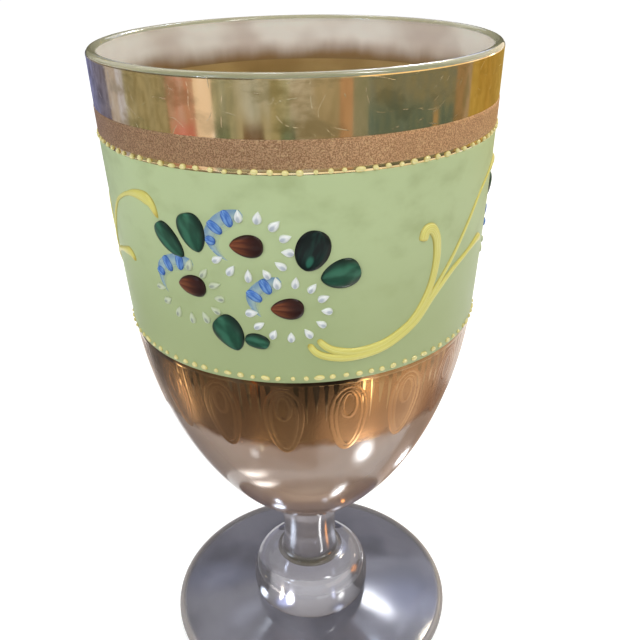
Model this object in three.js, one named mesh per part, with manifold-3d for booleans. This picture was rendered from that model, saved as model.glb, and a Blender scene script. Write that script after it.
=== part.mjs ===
// Stemmed goblet: a clear glass foot, knop, stem and bowl, with gilt and enamel bands
// around the bowl and three sprays of raised enamel daisies, leaves and scrolls.
// Millimetres, +Z up. The origin is the centre of the foot's underside, and -Y is the front.

import * as THREE from 'three';
import { mergeVertices } from 'three/addons/utils/BufferGeometryUtils.js';
import Module from 'manifold-3d';

// Foot: a round plate with a rounded edge, hollowed a little underneath.
const FOOT_DIAMETER = 69;
const FOOT_EDGE_THICKNESS = 3;
const FOOT_RISE = 1.6;
const FOOT_RING_WIDTH = 6;
const FOOT_HOLLOW_DEPTH = 1.2;

// Knop: a cushion of glass between the foot and the stem, drawn in where it meets the foot.
const KNOP_DIAMETER = 29;
const KNOP_UNDERCUT = 1.5;
const KNOP_HEIGHT = 12;
const KNOP_WIDEST_HEIGHT = 4;

// Stem: a short rod, a little slimmer at its middle.
const STEM_DIAMETER = 13.4;
const STEM_WAIST_DEPTH = 0.3;
const STEM_LENGTH = 15.4;

// Bowl: a nearly straight wall, full by a little at its middle, then a round belly.
const BOWL_HEIGHT = 108;
const RIM_DIAMETER = 76;
const BOWL_WALL = 1.9;
const WALL_FULLNESS = 0.26;
const SHOULDER_DROP = 50;
const SHOULDER_DIAMETER = 71.5;
const BELLY_UPPER_HANDLE = 24.5;
const BELLY_LOWER_HANDLE = 20;
const BELLY_LOWER_SLOPE = 34;
const BOWL_NECK_DIAMETER = 14;
const BOWL_FLOOR_THICKNESS = 9;
const HOLLOW_UPPER_HANDLE = 24;
const HOLLOW_LOWER_HANDLE = 19;

// Bands around the bowl, stacked downwards from a bare strip under the rounded lip.
const BARE_STRIP = 0.45;
const RIM_GILDING_WIDTH = 8.2;
const SAND_BAND_WIDTH = 4.6;
const GILT_LINE_WIDTH = 0.9;
const ENAMEL_BAND_WIDTH = 38.2;
const LOWER_GILDING_WIDTH = 18.4;
const GILDING_THICKNESS = 0.15;
const SAND_BAND_THICKNESS = 0.3;
const ENAMEL_BAND_THICKNESS = 0.25;

// Raised enamel. Every dab sits this far clear of the band that carries it.
const ENAMEL_SEAT_GAP = 0.1;
const BEAD_PITCH = 2.36;
const BEAD_DIAMETER = 0.9;
const BEAD_HEIGHT = 0.45;
const LOWER_BEAD_RISE = 1.1;
const HAIR_WIDTH = 0.2;
const HAIR_HEIGHT = 0.1;
const LEAF_HEIGHT = 0.8;
const LEAF_TAPER = 0.45;
const DAISY_WIDTH = 12.6;
const DAISY_HEIGHT = 10.4;
const PETAL_COUNT = 13;
const PETAL_LENGTH = 2;
const PETAL_WIDTH = 2;
const PETAL_HEIGHT = 0.6;
const CENTRE_LENGTH = 5.2;
const CENTRE_WIDTH = 4;
const CENTRE_HEIGHT = 0.8;
const CENTRE_TAPER = 0.25;
const CENTRE_TURN = 180;
const SCROLL_HEIGHT = 0.5;
const SCROLL_WIDTH = 2;
const FINGER_ROOT_WIDTH = 1;
const FINGER_TIP_WIDTH = 1.8;

// Places in a spray are counted in flowers: u in flower widths to the right of the spray's
// middle and v in flower heights above the band's middle. A turn, in degrees, is where a
// leaf points.
const SPRAY_COUNT = 3;
const LEAVES = [
  { u: -1.59, v: 0.56, length: 6.4, width: 2.1, turn: -40 },
  { u: -1.29, v: 0.68, length: 6.6, width: 4, turn: -79 },
  { u: 0.13, v: 0.52, length: 7, width: 4.8, turn: -101 },
  { u: 0.45, v: 0.11, length: 6, width: 4, turn: 190 },
  { u: -0.92, v: -0.82, length: 6, width: 4, turn: -65 },
  { u: -0.58, v: -0.93, length: 3.8, width: 2.4, turn: 180 },
];

// The petals of a daisy are counted from its first angle, and the last few are blue.
const DAISIES = [
  { u: -0.6, v: 0.54, centreU: -0.6, centreV: 0.54, firstAngle: -165, bluePetals: 3 },
  { u: -1.43, v: -0.23, centreU: -1.34, centreV: -0.14, firstAngle: -180, bluePetals: 3 },
  { u: -0.16, v: -0.37, centreU: -0.17, centreV: -0.35, firstAngle: -190, bluePetals: 2 },
];

// The scroll's long stroke ends where three fingers part from it. The two outer fingers
// reach on towards the next spray, so their u is a share of that reach.
const SCROLL_STROKE = [
  [0.08, -0.97], [0.27, -1.08], [0.55, -1.14], [0.92, -1.05], [1.29, -0.81], [1.68, -0.36],
];
const SCROLL_CURL = [[1.61, -0.44], [1.68, -0.04], [1.71, 0.32], [1.62, 0.58], [1.49, 0.48]];
const SCROLL_PARTING = [1.61, -0.44];
const LONG_FINGER = [[0.16, -0.15], [0.34, 0.32], [0.52, 0.77], [0.7, 1.02], [0.91, 1.05], [1, 0.92]];
const SHORT_FINGER = [[0.23, -0.19], [0.41, -0.06], [0.57, 0.1], [0.65, -0.05]];
const NEXT_SPRAY_LEAD = 1.75;

// Fineness of the round stretches.
const LATHE_STEPS = 48;
const CURVE_STEPS = 8;
const WALL_STEPS = 2;
const EDGE_STEPS = 4;
const STROKE_STEPS = 10;
const DAB_POINTS = 10;
const DAB_SHOULDER_SCALE = 0.65;
const DAB_SHOULDER_LIFT = 0.8;
const RING_SPACING = 1;
const CURVE_TOLERANCE = 1e-9;

const wasm = await Module();
wasm.setup();

const point = (radius, height) => new THREE.Vector2(radius, height);

// Finishes. Each piece gets a material of its own.
const finish = (color, roughness, metalness) => () =>
  new THREE.MeshStandardMaterial({ color, roughness, metalness });
const clearGlass = finish(0xb9b2b8, 0.08, 0);
const gilding = finish(0xb0925a, 0.2, 1);
const sandGilding = finish(0x966e50, 0.6, 0.8);
const sageEnamel = finish(0xafbe8c, 0.45, 0);
const leafEnamel = finish(0x143c2d, 0.15, 0);
const brownEnamel = finish(0x6e371e, 0.25, 0);
const whiteEnamel = finish(0xe1e6e6, 0.25, 0);
const blueEnamel = finish(0x466ebe, 0.25, 0);
const yellowEnamel = finish(0xe1c85a, 0.3, 0);

function named(name, geometry, material) {
  const mesh = new THREE.Mesh(geometry, material());
  mesh.name = name;
  return mesh;
}

// Turns a profile of (radius, height) points about the upright axis.
function revolve(profile) {
  const geometry = new THREE.LatheGeometry(profile, LATHE_STEPS);
  geometry.rotateX(Math.PI / 2);
  return geometry;
}

// The foot, from the middle of its hollow round its edge to the knop's seat.
const footHeight = FOOT_EDGE_THICKNESS + FOOT_RISE;
const knopSeatRadius = KNOP_DIAMETER / 2 - KNOP_UNDERCUT;

function footProfile() {
  const edgeRadius = FOOT_EDGE_THICKNESS / 2;
  const ringOuter = FOOT_DIAMETER / 2 - edgeRadius;
  const ringInner = ringOuter - FOOT_RING_WIDTH;
  const hollow = new THREE.QuadraticBezierCurve(
    point(0, FOOT_HOLLOW_DEPTH),
    point(ringInner / 2, FOOT_HOLLOW_DEPTH),
    point(ringInner, 0),
  );
  const edge = new THREE.EllipseCurve(
    ringOuter, edgeRadius, edgeRadius, edgeRadius, -Math.PI / 2, Math.PI / 2,
  );
  return [
    ...hollow.getPoints(EDGE_STEPS),
    ...edge.getPoints(EDGE_STEPS),
    point(knopSeatRadius, footHeight),
    point(0, footHeight),
  ];
}

function knopProfile() {
  const widest = KNOP_DIAMETER / 2;
  const lower = new THREE.QuadraticBezierCurve(
    point(knopSeatRadius, 0),
    point(widest, 0),
    point(widest, KNOP_WIDEST_HEIGHT),
  );
  const upper = new THREE.QuadraticBezierCurve(
    point(widest, KNOP_WIDEST_HEIGHT),
    point(widest, KNOP_HEIGHT),
    point(STEM_DIAMETER / 2, KNOP_HEIGHT),
  );
  return [
    point(0, 0),
    ...lower.getPoints(EDGE_STEPS),
    ...upper.getPoints(EDGE_STEPS).slice(1),
    point(0, KNOP_HEIGHT),
  ];
}

function stemProfile() {
  const waist = new THREE.SplineCurve([
    point(STEM_DIAMETER / 2, 0),
    point(STEM_DIAMETER / 2 - STEM_WAIST_DEPTH, STEM_LENGTH / 2),
    point(BOWL_NECK_DIAMETER / 2, STEM_LENGTH),
  ]);
  return [point(0, 0), ...waist.getPoints(EDGE_STEPS), point(0, STEM_LENGTH)];
}

// The bowl's outside: a wall curve from the rim to the shoulder, then the belly to the neck.
const shoulderHeight = BOWL_HEIGHT - SHOULDER_DROP;
const rimRadius = RIM_DIAMETER / 2;
const shoulderRadius = SHOULDER_DIAMETER / 2;
const wallMiddle = point(
  (rimRadius + shoulderRadius) / 2 + 2 * WALL_FULLNESS,
  (BOWL_HEIGHT + shoulderHeight) / 2,
);
const wallCurve = new THREE.QuadraticBezierCurve(
  point(rimRadius, BOWL_HEIGHT),
  wallMiddle,
  point(shoulderRadius, shoulderHeight),
);
const shoulderSlope = wallCurve.getTangent(1);
const neckSlope = THREE.MathUtils.degToRad(BELLY_LOWER_SLOPE);
const bellyCurve = new THREE.CubicBezierCurve(
  point(shoulderRadius, shoulderHeight),
  point(shoulderRadius, shoulderHeight).addScaledVector(shoulderSlope, BELLY_UPPER_HANDLE),
  point(
    BOWL_NECK_DIAMETER / 2 + BELLY_LOWER_HANDLE * Math.cos(neckSlope),
    BELLY_LOWER_HANDLE * Math.sin(neckSlope),
  ),
  point(BOWL_NECK_DIAMETER / 2, 0),
);

// Radius of the bowl's outside at a height above its neck.
function outerRadius(height) {
  const curve = height >= shoulderHeight ? wallCurve : bellyCurve;
  let above = 0;
  let below = 1;
  while (below - above > CURVE_TOLERANCE) {
    const middle = (above + below) / 2;
    if (curve.getPoint(middle).y > height) {
      above = middle;
    } else {
      below = middle;
    }
  }
  return curve.getPoint(above).x;
}

// Heights where one band ends and the next begins, from the lip downwards.
const lipRadius = BOWL_WALL / 2;
const gildingTop = BOWL_HEIGHT - lipRadius - BARE_STRIP;
const sandTop = gildingTop - RIM_GILDING_WIDTH;
const lineTop = sandTop - SAND_BAND_WIDTH;
const enamelTop = lineTop - GILT_LINE_WIDTH;
const enamelBottom = enamelTop - ENAMEL_BAND_WIDTH;
const gildingBottom = enamelBottom - LOWER_GILDING_WIDTH;
const bandEdges = [gildingTop, sandTop, lineTop, enamelTop, enamelBottom, gildingBottom];
const bandMiddle = (enamelTop + enamelBottom) / 2;
const bandRadius = outerRadius(bandMiddle);

// Rings of points on the bowl's outside, one at each band edge, so that bands fit the glass.
const curveHeights = bellyCurve
  .getPoints(CURVE_STEPS)
  .map(({ y }) => y)
  .concat(bandMiddle)
  .filter((height) => bandEdges.every((edge) => Math.abs(edge - height) > RING_SPACING));
const ringHeights = [...bandEdges, ...curveHeights].sort((a, b) => a - b);

function bowlProfile() {
  const outside = ringHeights.map((height) => point(outerRadius(height), height));
  const lip = new THREE.EllipseCurve(
    rimRadius - lipRadius, BOWL_HEIGHT - lipRadius, lipRadius, lipRadius, 0, Math.PI,
  );
  const innerShoulder = point(shoulderRadius - BOWL_WALL, shoulderHeight);
  const wallInside = new THREE.QuadraticBezierCurve(
    point(rimRadius - BOWL_WALL, BOWL_HEIGHT - lipRadius),
    point(wallMiddle.x - BOWL_WALL, wallMiddle.y),
    innerShoulder,
  );
  const hollow = new THREE.CubicBezierCurve(
    innerShoulder,
    innerShoulder.clone().addScaledVector(shoulderSlope, HOLLOW_UPPER_HANDLE),
    point(HOLLOW_LOWER_HANDLE, BOWL_FLOOR_THICKNESS),
    point(0, BOWL_FLOOR_THICKNESS),
  );
  return [
    point(0, 0),
    ...outside,
    ...lip.getPoints(EDGE_STEPS),
    ...wallInside.getPoints(WALL_STEPS).slice(1),
    ...hollow.getPoints(CURVE_STEPS).slice(1),
  ];
}

// A thin coat on the bowl's outside between two band edges.
function bandProfile(top, bottom, thickness) {
  const heights = ringHeights.filter((height) => height >= bottom && height <= top);
  const inside = heights.map((height) => point(outerRadius(height), height));
  const outside = inside.map(({ x, y }) => point(x + thickness, y));
  return [inside[0], ...outside, ...inside.toReversed()];
}

// A place on the enamel band, u to the right and v up from its middle, lifted off it.
function onBand(u, v, lift) {
  const azimuth = u / bandRadius;
  const height = bandMiddle + v;
  const radius = outerRadius(height) + ENAMEL_BAND_THICKNESS + ENAMEL_SEAT_GAP + lift;
  return [radius * Math.sin(azimuth), -radius * Math.cos(azimuth), height];
}

function solid(positions, faces) {
  const geometry = new THREE.BufferGeometry();
  geometry.setAttribute('position', new THREE.Float32BufferAttribute(positions, 3));
  geometry.setIndex(faces);
  return geometry;
}

// A raised line of enamel with a crest along its middle.
// A station is a place, a direction across the line, a width and a height.
function raisedLine(stations, closed) {
  const positions = stations.flatMap(({ u, v, across, width, height }) => [
    ...onBand(u - (across.x * width) / 2, v - (across.y * width) / 2, 0),
    ...onBand(u, v, height),
    ...onBand(u + (across.x * width) / 2, v + (across.y * width) / 2, 0),
  ]);
  const faces = [];
  const spans = closed ? stations.length : stations.length - 1;
  for (let i = 0; i < spans; i += 1) {
    const near = 3 * i;
    const far = 3 * ((i + 1) % stations.length);
    for (let side = 0; side < 3; side += 1) {
      const next = (side + 1) % 3;
      faces.push(near + side, far + side, far + next);
      faces.push(near + side, far + next, near + next);
    }
  }
  if (!closed) {
    const last = 3 * spans;
    faces.push(0, 1, 2, last, last + 2, last + 1);
  }
  return solid(positions, faces);
}

const squareTo = (direction) => point(-direction.y, direction.x);

// A row of beads round the bowl, on a hair of enamel that runs through them.
function beadRow(height) {
  const circumference = 2 * Math.PI * outerRadius(height);
  const count = Math.round(circumference / BEAD_PITCH);
  const stations = [];
  for (let i = 0; i < 2 * count; i += 1) {
    const isBead = i % 2 === 0;
    stations.push({
      u: (Math.PI * bandRadius * i) / count,
      v: height - bandMiddle,
      across: point(0, 1),
      width: isBead ? BEAD_DIAMETER : HAIR_WIDTH,
      height: isBead ? BEAD_HEIGHT : HAIR_HEIGHT,
    });
  }
  return raisedLine(stations, true);
}

// Places in a spray, from flowers to millimetres.
const inSpray = (u, v) => point(u * (DAISY_WIDTH + PETAL_LENGTH), v * (DAISY_HEIGHT + PETAL_LENGTH));

// A domed drop of enamel, tapered towards the end that its turn gives.
function dab({ place, length, width, turn, height, taper }) {
  const angle = THREE.MathUtils.degToRad(turn);
  const positions = [];
  const ring = (scale, lift) => {
    for (let i = 0; i < DAB_POINTS; i += 1) {
      const around = (2 * Math.PI * i) / DAB_POINTS;
      const along = (length / 2) * Math.cos(around);
      const aside = (width / 2) * Math.sin(around) * (1 - taper * Math.cos(around));
      const offset = point(along, aside).multiplyScalar(scale).rotateAround(point(0, 0), angle);
      positions.push(...onBand(place.x + offset.x, place.y + offset.y, lift));
    }
  };
  ring(1, 0);
  ring(DAB_SHOULDER_SCALE, DAB_SHOULDER_LIFT * height);
  positions.push(...onBand(place.x, place.y, height), ...onBand(place.x, place.y, 0));
  const top = 2 * DAB_POINTS;
  const bottom = top + 1;
  const faces = [];
  for (let i = 0; i < DAB_POINTS; i += 1) {
    const next = (i + 1) % DAB_POINTS;
    faces.push(i, next, DAB_POINTS + next, i, DAB_POINTS + next, DAB_POINTS + i);
    faces.push(DAB_POINTS + i, DAB_POINTS + next, top);
    faces.push(next, i, bottom);
  }
  return solid(positions, faces);
}

// Some of a daisy's petals, as one line of drops along its oval.
function petals({ u, v, firstAngle }, first, last) {
  const place = inSpray(u, v);
  const pitch = (2 * Math.PI) / PETAL_COUNT;
  const halfPetal = (2 * PETAL_WIDTH) / (DAISY_WIDTH + DAISY_HEIGHT);
  const stations = [];
  for (let i = first; i < last; i += 1) {
    const middle = THREE.MathUtils.degToRad(firstAngle) + (i + 0.5) * pitch;
    for (const angle of [middle - halfPetal, middle, middle + halfPetal]) {
      const along = point(-DAISY_WIDTH * Math.sin(angle), DAISY_HEIGHT * Math.cos(angle)).normalize();
      stations.push({
        u: place.x + (DAISY_WIDTH / 2) * Math.cos(angle),
        v: place.y + (DAISY_HEIGHT / 2) * Math.sin(angle),
        across: squareTo(along),
        width: angle === middle ? PETAL_LENGTH : HAIR_WIDTH,
        height: angle === middle ? PETAL_HEIGHT : HAIR_HEIGHT,
      });
    }
  }
  return raisedLine(stations, false);
}

// One brush stroke of the scroll, from its first width to its last.
function stroke(places, firstWidth, lastWidth) {
  const path = new THREE.SplineCurve(places);
  const stations = [];
  for (let i = 0; i <= STROKE_STEPS; i += 1) {
    const share = i / STROKE_STEPS;
    const place = path.getPointAt(share);
    stations.push({
      u: place.x,
      v: place.y,
      across: squareTo(path.getTangentAt(share)),
      width: THREE.MathUtils.lerp(firstWidth, lastWidth, share),
      height: SCROLL_HEIGHT,
    });
  }
  return raisedLine(stations, false);
}

function toManifold(geometry) {
  const merged = mergeVertices(geometry);
  return new wasm.Manifold(new wasm.Mesh({
    numProp: 3,
    vertProperties: new Float32Array(merged.attributes.position.array),
    triVerts: new Uint32Array(merged.index.array),
  }));
}

function joined(geometries) {
  const { vertProperties, triVerts } = geometries
    .map(toManifold)
    .reduce((whole, piece) => whole.add(piece))
    .getMesh();
  return solid(Array.from(vertProperties), Array.from(triVerts));
}

function scroll() {
  const nextSpray = (2 * Math.PI * bandRadius) / SPRAY_COUNT;
  const parting = inSpray(...SCROLL_PARTING);
  const reach = nextSpray - inSpray(NEXT_SPRAY_LEAD, 0).x - parting.x;
  const inReach = ([share, v]) => point(parting.x + share * reach, inSpray(0, v).y);
  const onSpray = ([u, v]) => inSpray(u, v);
  return joined([
    stroke(SCROLL_STROKE.map(onSpray), SCROLL_WIDTH, SCROLL_WIDTH),
    stroke(SCROLL_CURL.map(onSpray), FINGER_ROOT_WIDTH, FINGER_TIP_WIDTH),
    stroke([parting, ...LONG_FINGER.map(inReach)], FINGER_ROOT_WIDTH, FINGER_TIP_WIDTH),
    stroke([parting, ...SHORT_FINGER.map(inReach)], FINGER_ROOT_WIDTH, FINGER_TIP_WIDTH),
  ]);
}

function spray(number) {
  const group = new THREE.Group();
  const prefix = `spray_${number}`;
  LEAVES.forEach((leaf, i) => {
    const shape = dab({ ...leaf, place: inSpray(leaf.u, leaf.v), height: LEAF_HEIGHT, taper: LEAF_TAPER });
    group.add(named(`${prefix}_leaf_${i + 1}`, shape, leafEnamel));
  });
  DAISIES.forEach((daisy, i) => {
    const flower = `${prefix}_daisy_${i + 1}`;
    const whitePetals = PETAL_COUNT - daisy.bluePetals;
    const centre = dab({
      place: inSpray(daisy.centreU, daisy.centreV),
      length: CENTRE_LENGTH,
      width: CENTRE_WIDTH,
      turn: CENTRE_TURN,
      height: CENTRE_HEIGHT,
      taper: CENTRE_TAPER,
    });
    group.add(
      named(`${flower}_centre`, centre, brownEnamel),
      named(`${flower}_white_petals`, petals(daisy, 0, whitePetals), whiteEnamel),
      named(`${flower}_blue_petals`, petals(daisy, whitePetals, PETAL_COUNT), blueEnamel),
    );
  });
  group.add(named(`${prefix}_scroll`, scroll(), yellowEnamel));
  return group;
}

function bowlGroup() {
  const group = new THREE.Group();
  const band = (top, bottom, thickness) => revolve(bandProfile(top, bottom, thickness));
  group.add(
    named('bowl', revolve(bowlProfile()), clearGlass),
    named('rim_gilding', band(gildingTop, sandTop, GILDING_THICKNESS), gilding),
    named('sand_gilt_band', band(sandTop, lineTop, SAND_BAND_THICKNESS), sandGilding),
    named('upper_gilt_line', band(lineTop, enamelTop, GILDING_THICKNESS), gilding),
    named('green_enamel_band', band(enamelTop, enamelBottom, ENAMEL_BAND_THICKNESS), sageEnamel),
    named('lower_gilt_band', band(enamelBottom, gildingBottom, GILDING_THICKNESS), gilding),
    named('upper_bead_row', beadRow((lineTop + enamelTop) / 2), yellowEnamel),
    named('lower_bead_row', beadRow(enamelBottom + LOWER_BEAD_RISE), yellowEnamel),
  );
  for (let i = 0; i < SPRAY_COUNT; i += 1) {
    const flowers = spray(i + 1);
    flowers.rotation.z = (2 * Math.PI * i) / SPRAY_COUNT;
    group.add(flowers);
  }
  return group;
}

const goblet = new THREE.Group();
const foot = named('foot', revolve(footProfile()), clearGlass);
const knop = named('knop', revolve(knopProfile()), clearGlass);
const stem = named('stem', revolve(stemProfile()), clearGlass);
const bowl = bowlGroup();
knop.position.z = footHeight;
stem.position.z = knop.position.z + KNOP_HEIGHT;
bowl.position.z = stem.position.z + STEM_LENGTH;
goblet.add(foot, knop, stem, bowl);

export default goblet;
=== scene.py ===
"""Goblet of clear glass with gilt and enamel bands and three sprays of raised daisies.

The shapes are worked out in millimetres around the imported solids, with +Z up and the front
towards -Y, and they reach Blender in metres. An azimuth is counted from the front to the right.
A place on a band is (u, v): u runs to the right along the band and v up from the band's middle.
A finish's span gives the two values that a soft step lies between, and its relief is a strength
and a depth in millimetres.
"""

import logging
import math
import random
from dataclasses import dataclass, field
from enum import Enum
from typing import ClassVar

import bmesh
import bpy
import numpy as np
from mathutils import Matrix, Vector


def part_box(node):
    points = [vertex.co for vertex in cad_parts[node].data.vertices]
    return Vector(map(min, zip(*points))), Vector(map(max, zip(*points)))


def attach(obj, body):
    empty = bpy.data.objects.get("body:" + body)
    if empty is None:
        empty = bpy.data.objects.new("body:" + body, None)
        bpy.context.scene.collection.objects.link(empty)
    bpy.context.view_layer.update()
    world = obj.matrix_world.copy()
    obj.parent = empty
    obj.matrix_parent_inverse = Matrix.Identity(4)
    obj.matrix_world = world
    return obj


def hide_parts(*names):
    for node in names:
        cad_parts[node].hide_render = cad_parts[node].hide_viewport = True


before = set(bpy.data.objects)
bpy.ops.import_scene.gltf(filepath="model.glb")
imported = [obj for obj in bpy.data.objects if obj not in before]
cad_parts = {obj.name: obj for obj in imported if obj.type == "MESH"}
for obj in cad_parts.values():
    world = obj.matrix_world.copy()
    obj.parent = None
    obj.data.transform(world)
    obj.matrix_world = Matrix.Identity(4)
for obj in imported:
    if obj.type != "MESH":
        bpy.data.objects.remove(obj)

Place = tuple[float, float]
Point = tuple[float, float, float]
Tree = bpy.types.ShaderNodeTree
Socket = bpy.types.NodeSocket

LOG = logging.getLogger("goblet")
MM = 0.001
BODY = "root"
TURN_STEPS = 192
SHARP_EDGE = math.radians(48)
JITTER_SEED = 7
GLASS_IOR = 1.5
SOFT_STEP = {"interpolation_type": "SMOOTHSTEP"}
# A Mix node takes its two colours in inputs 6 and 7 and gives the mixed one in output 2.
COLOURS = {"data_type": "RGBA"}
MIXED = 2


class Slot(Enum):
    """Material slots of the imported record."""

    GLASS = "clear_glass"
    GILDING = "gilding"
    SAND_GILDING = "sand_gilding"
    SAGE = "sage_enamel"
    LEAF = "leaf_enamel"
    BROWN = "brown_enamel"
    WHITE = "white_enamel"
    BLUE = "blue_enamel"
    YELLOW = "yellow_enamel"


class Trace(Enum):
    """What a mesh keeps at each point about the brush stroke that the point lies in."""

    ALONG = "stroke_along"
    ACROSS = "stroke_across"
    EDGE = "stroke_edge"


def linear(hex_colour: str) -> tuple[float, float, float, float]:
    """Turns an sRGB hex colour to linear light.

    Args:
        hex_colour: Six hex digits after a hash.

    Returns:
        Red, green, blue and an alpha of 1.
    """
    shares = [int(hex_colour[i : i + 2], 16) / 255 for i in (1, 3, 5)]
    red, green, blue = (s / 12.92 if s <= 0.04045 else ((s + 0.055) / 1.055) ** 2.4 for s in shares)
    return red, green, blue, 1.0


def add_node(
    tree: Tree,
    kind: str,
    settings: dict[str, object] | None = None,
    inputs: dict[str | int, object] | tuple[object, ...] = (),
    output: str | int = 0,
) -> Socket | None:
    """Adds a shader node.

    Args:
        tree: The material's or world's nodes.
        kind: Blender's name for the node, without its ShaderNode prefix.
        settings: The node's own settings.
        inputs: A value, a hex colour or a socket to link for each input, in the node's order or by name.
        output: Which of its outputs is wanted.

    Returns:
        That output, or none for a node that has no outputs.
    """
    node = tree.nodes.new(f"ShaderNode{kind}")
    for name, value in (settings or {}).items():
        setattr(node, name, value)
    named = inputs if isinstance(inputs, dict) else dict(enumerate(inputs))
    for name, value in named.items():
        if isinstance(value, Socket):
            tree.links.new(value, node.inputs[name])
        else:
            node.inputs[name].default_value = linear(value) if isinstance(value, str) else value
    return node.outputs[output] if node.outputs else None


def seen_directly(tree: Tree) -> Socket:
    """A share that is 1 where the eye, metal or glass sees a surface, and 0 where it only gives light.

    Args:
        tree: The material's or world's nodes.

    Returns:
        The share.
    """
    seen = 0.0
    for ray in ("Is Camera Ray", "Is Glossy Ray", "Is Transmission Ray"):
        shown = add_node(tree, "LightPath", output=ray)
        seen = add_node(tree, "Math", {"operation": "MAXIMUM"}, (seen, shown))
    return seen


def bezier(*controls: Place, steps: int) -> np.ndarray:
    """Points along a Bezier curve.

    Args:
        controls: Its control points.
        steps: Number of stretches.

    Returns:
        An array of steps + 1 points.
    """
    share = np.linspace(0.0, 1.0, steps + 1)[:, None]
    layers = [np.asarray(control, float)[None] for control in controls]
    while len(layers) > 1:
        layers = [(1 - share) * near + share * far for near, far in zip(layers, layers[1:])]
    return layers[0]


def smooth_line(places: list[Place], steps: int) -> np.ndarray:
    """A smooth line through places (Catmull-Rom).

    Args:
        places: The places that it passes.
        steps: Stretches between two places.

    Returns:
        An array of points.
    """
    held = np.asarray(places, float)
    held = np.vstack([2 * held[0] - held[1], held, 2 * held[-1] - held[-2]])
    share = np.linspace(0.0, 1.0, steps, endpoint=False)[:, None]
    stretches = []
    for before, near, far, after in zip(held, held[1:], held[2:], held[3:]):
        bend = 2 * before - 5 * near + 4 * far - after
        twist = 3 * near - before - 3 * far + after
        stretches.append(0.5 * (2 * near + (far - before) * share + bend * share**2 + twist * share**3))
    return np.vstack([*stretches, held[-2][None]])


def around_axis(radius: np.ndarray, azimuth: np.ndarray, height: np.ndarray) -> np.ndarray:
    """Points round the upright axis, with X, Y and Z last."""
    return np.stack(np.broadcast_arrays(radius * np.sin(azimuth), -radius * np.cos(azimuth), height), -1)


def height_span(node: str) -> Place:
    """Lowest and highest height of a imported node, in millimetres."""
    low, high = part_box(node)
    return low.z / MM, high.z / MM


@dataclass(frozen=True)
class Finish:
    """A material, made once and shared by its pieces."""

    name: str
    made: ClassVar[dict["Finish", bpy.types.Material]] = {}

    def material(self) -> bpy.types.Material:
        """The finish as a Blender material.

        Returns:
            The material, the same one each time.
        """
        if self not in Finish.made:
            material = bpy.data.materials.new(self.name)
            material.use_nodes = True
            material.node_tree.nodes.clear()
            shader = self.shade(material.node_tree)
            add_node(material.node_tree, "OutputMaterial", None, {"Surface": shader})
            Finish.made[self] = material
        return Finish.made[self]

    def shade(self, tree: Tree) -> Socket:
        """Adds the finish's nodes and gives the shader to show."""
        raise NotImplementedError

    @staticmethod
    def grain(tree: Tree, size: Point, detail: float = 2.0) -> Socket:
        """Noise fixed to the object.

        Args:
            tree: The material's nodes.
            size: How far a blotch reaches along X, Y and Z, in millimetres.
            detail: Levels of finer noise in it.

        Returns:
            A value about 0.5.
        """
        place = add_node(tree, "TexCoord", output="Object")
        per_metre = [1 / (MM * length) for length in size]
        scaled = add_node(tree, "VectorMath", {"operation": "MULTIPLY"}, (place, per_metre))
        return add_node(tree, "TexNoise", None, {"Vector": scaled, "Scale": 1.0, "Detail": detail}, "Fac")

    @staticmethod
    def height(tree: Tree) -> Socket:
        """Height above the floor.

        Args:
            tree: The material's nodes.

        Returns:
            The height in millimetres.
        """
        place = add_node(tree, "TexCoord", output="Object")
        metres = add_node(tree, "SeparateXYZ", None, (place,), "Z")
        return add_node(tree, "Math", {"operation": "DIVIDE"}, (metres, MM))

    @staticmethod
    def overlay(tree: Tree, under: Socket | str, over: Socket | str, value: Socket, span: Place) -> Socket:
        """Lays a colour over another where a value passes a soft step across a span."""
        share = add_node(tree, "MapRange", SOFT_STEP, (value, *span))
        return add_node(tree, "Mix", COLOURS, {0: share, 6: under, 7: over}, MIXED)

    @staticmethod
    def skin(tree: Tree, inputs: dict[str, object], pattern: Socket, relief: Place) -> Socket:
        """A surface that a pattern stands out of.

        Args:
            tree: The material's nodes.
            inputs: Values and sockets for the surface.
            pattern: Heights from 0 to 1.
            relief: The relief's strength and its depth in millimetres.

        Returns:
            The shader.
        """
        strength, depth = relief
        raised = {"Strength": strength, "Distance": depth * MM, "Height": pattern}
        normal = add_node(tree, "Bump", None, raised)
        return add_node(tree, "BsdfPrincipled", None, {**inputs, "Normal": normal})


@dataclass(frozen=True)
class ThinFilm(Finish):
    """A fired film that may thin out unevenly towards its lower edge, where the glass shows through."""

    thin_width: float = 0.0
    thin_patch: Point = (2.5, 2.5, 2.5)
    thin_detail: float = 3.0
    thin_swing: float = 0.4

    def cover(self, tree: Tree) -> Socket | float:
        """How far the film covers the glass.

        Args:
            tree: The material's nodes.

        Returns:
            A share that is 0 at the lower edge, or 1 for a film that is whole.
        """
        if self.thin_width == 0:
            return 1.0
        swing = self.thin_swing * self.thin_width
        patch = self.grain(tree, self.thin_patch, self.thin_detail)
        uneven = add_node(tree, "MapRange", None, (patch, 0.0, 1.0, -swing, swing))
        edge = add_node(tree, "Attribute", {"attribute_name": Trace.EDGE.value}, output="Fac")
        above = add_node(tree, "Math", None, (edge, uneven))
        return add_node(tree, "MapRange", SOFT_STEP, (above, 0.0, self.thin_width))


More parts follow.
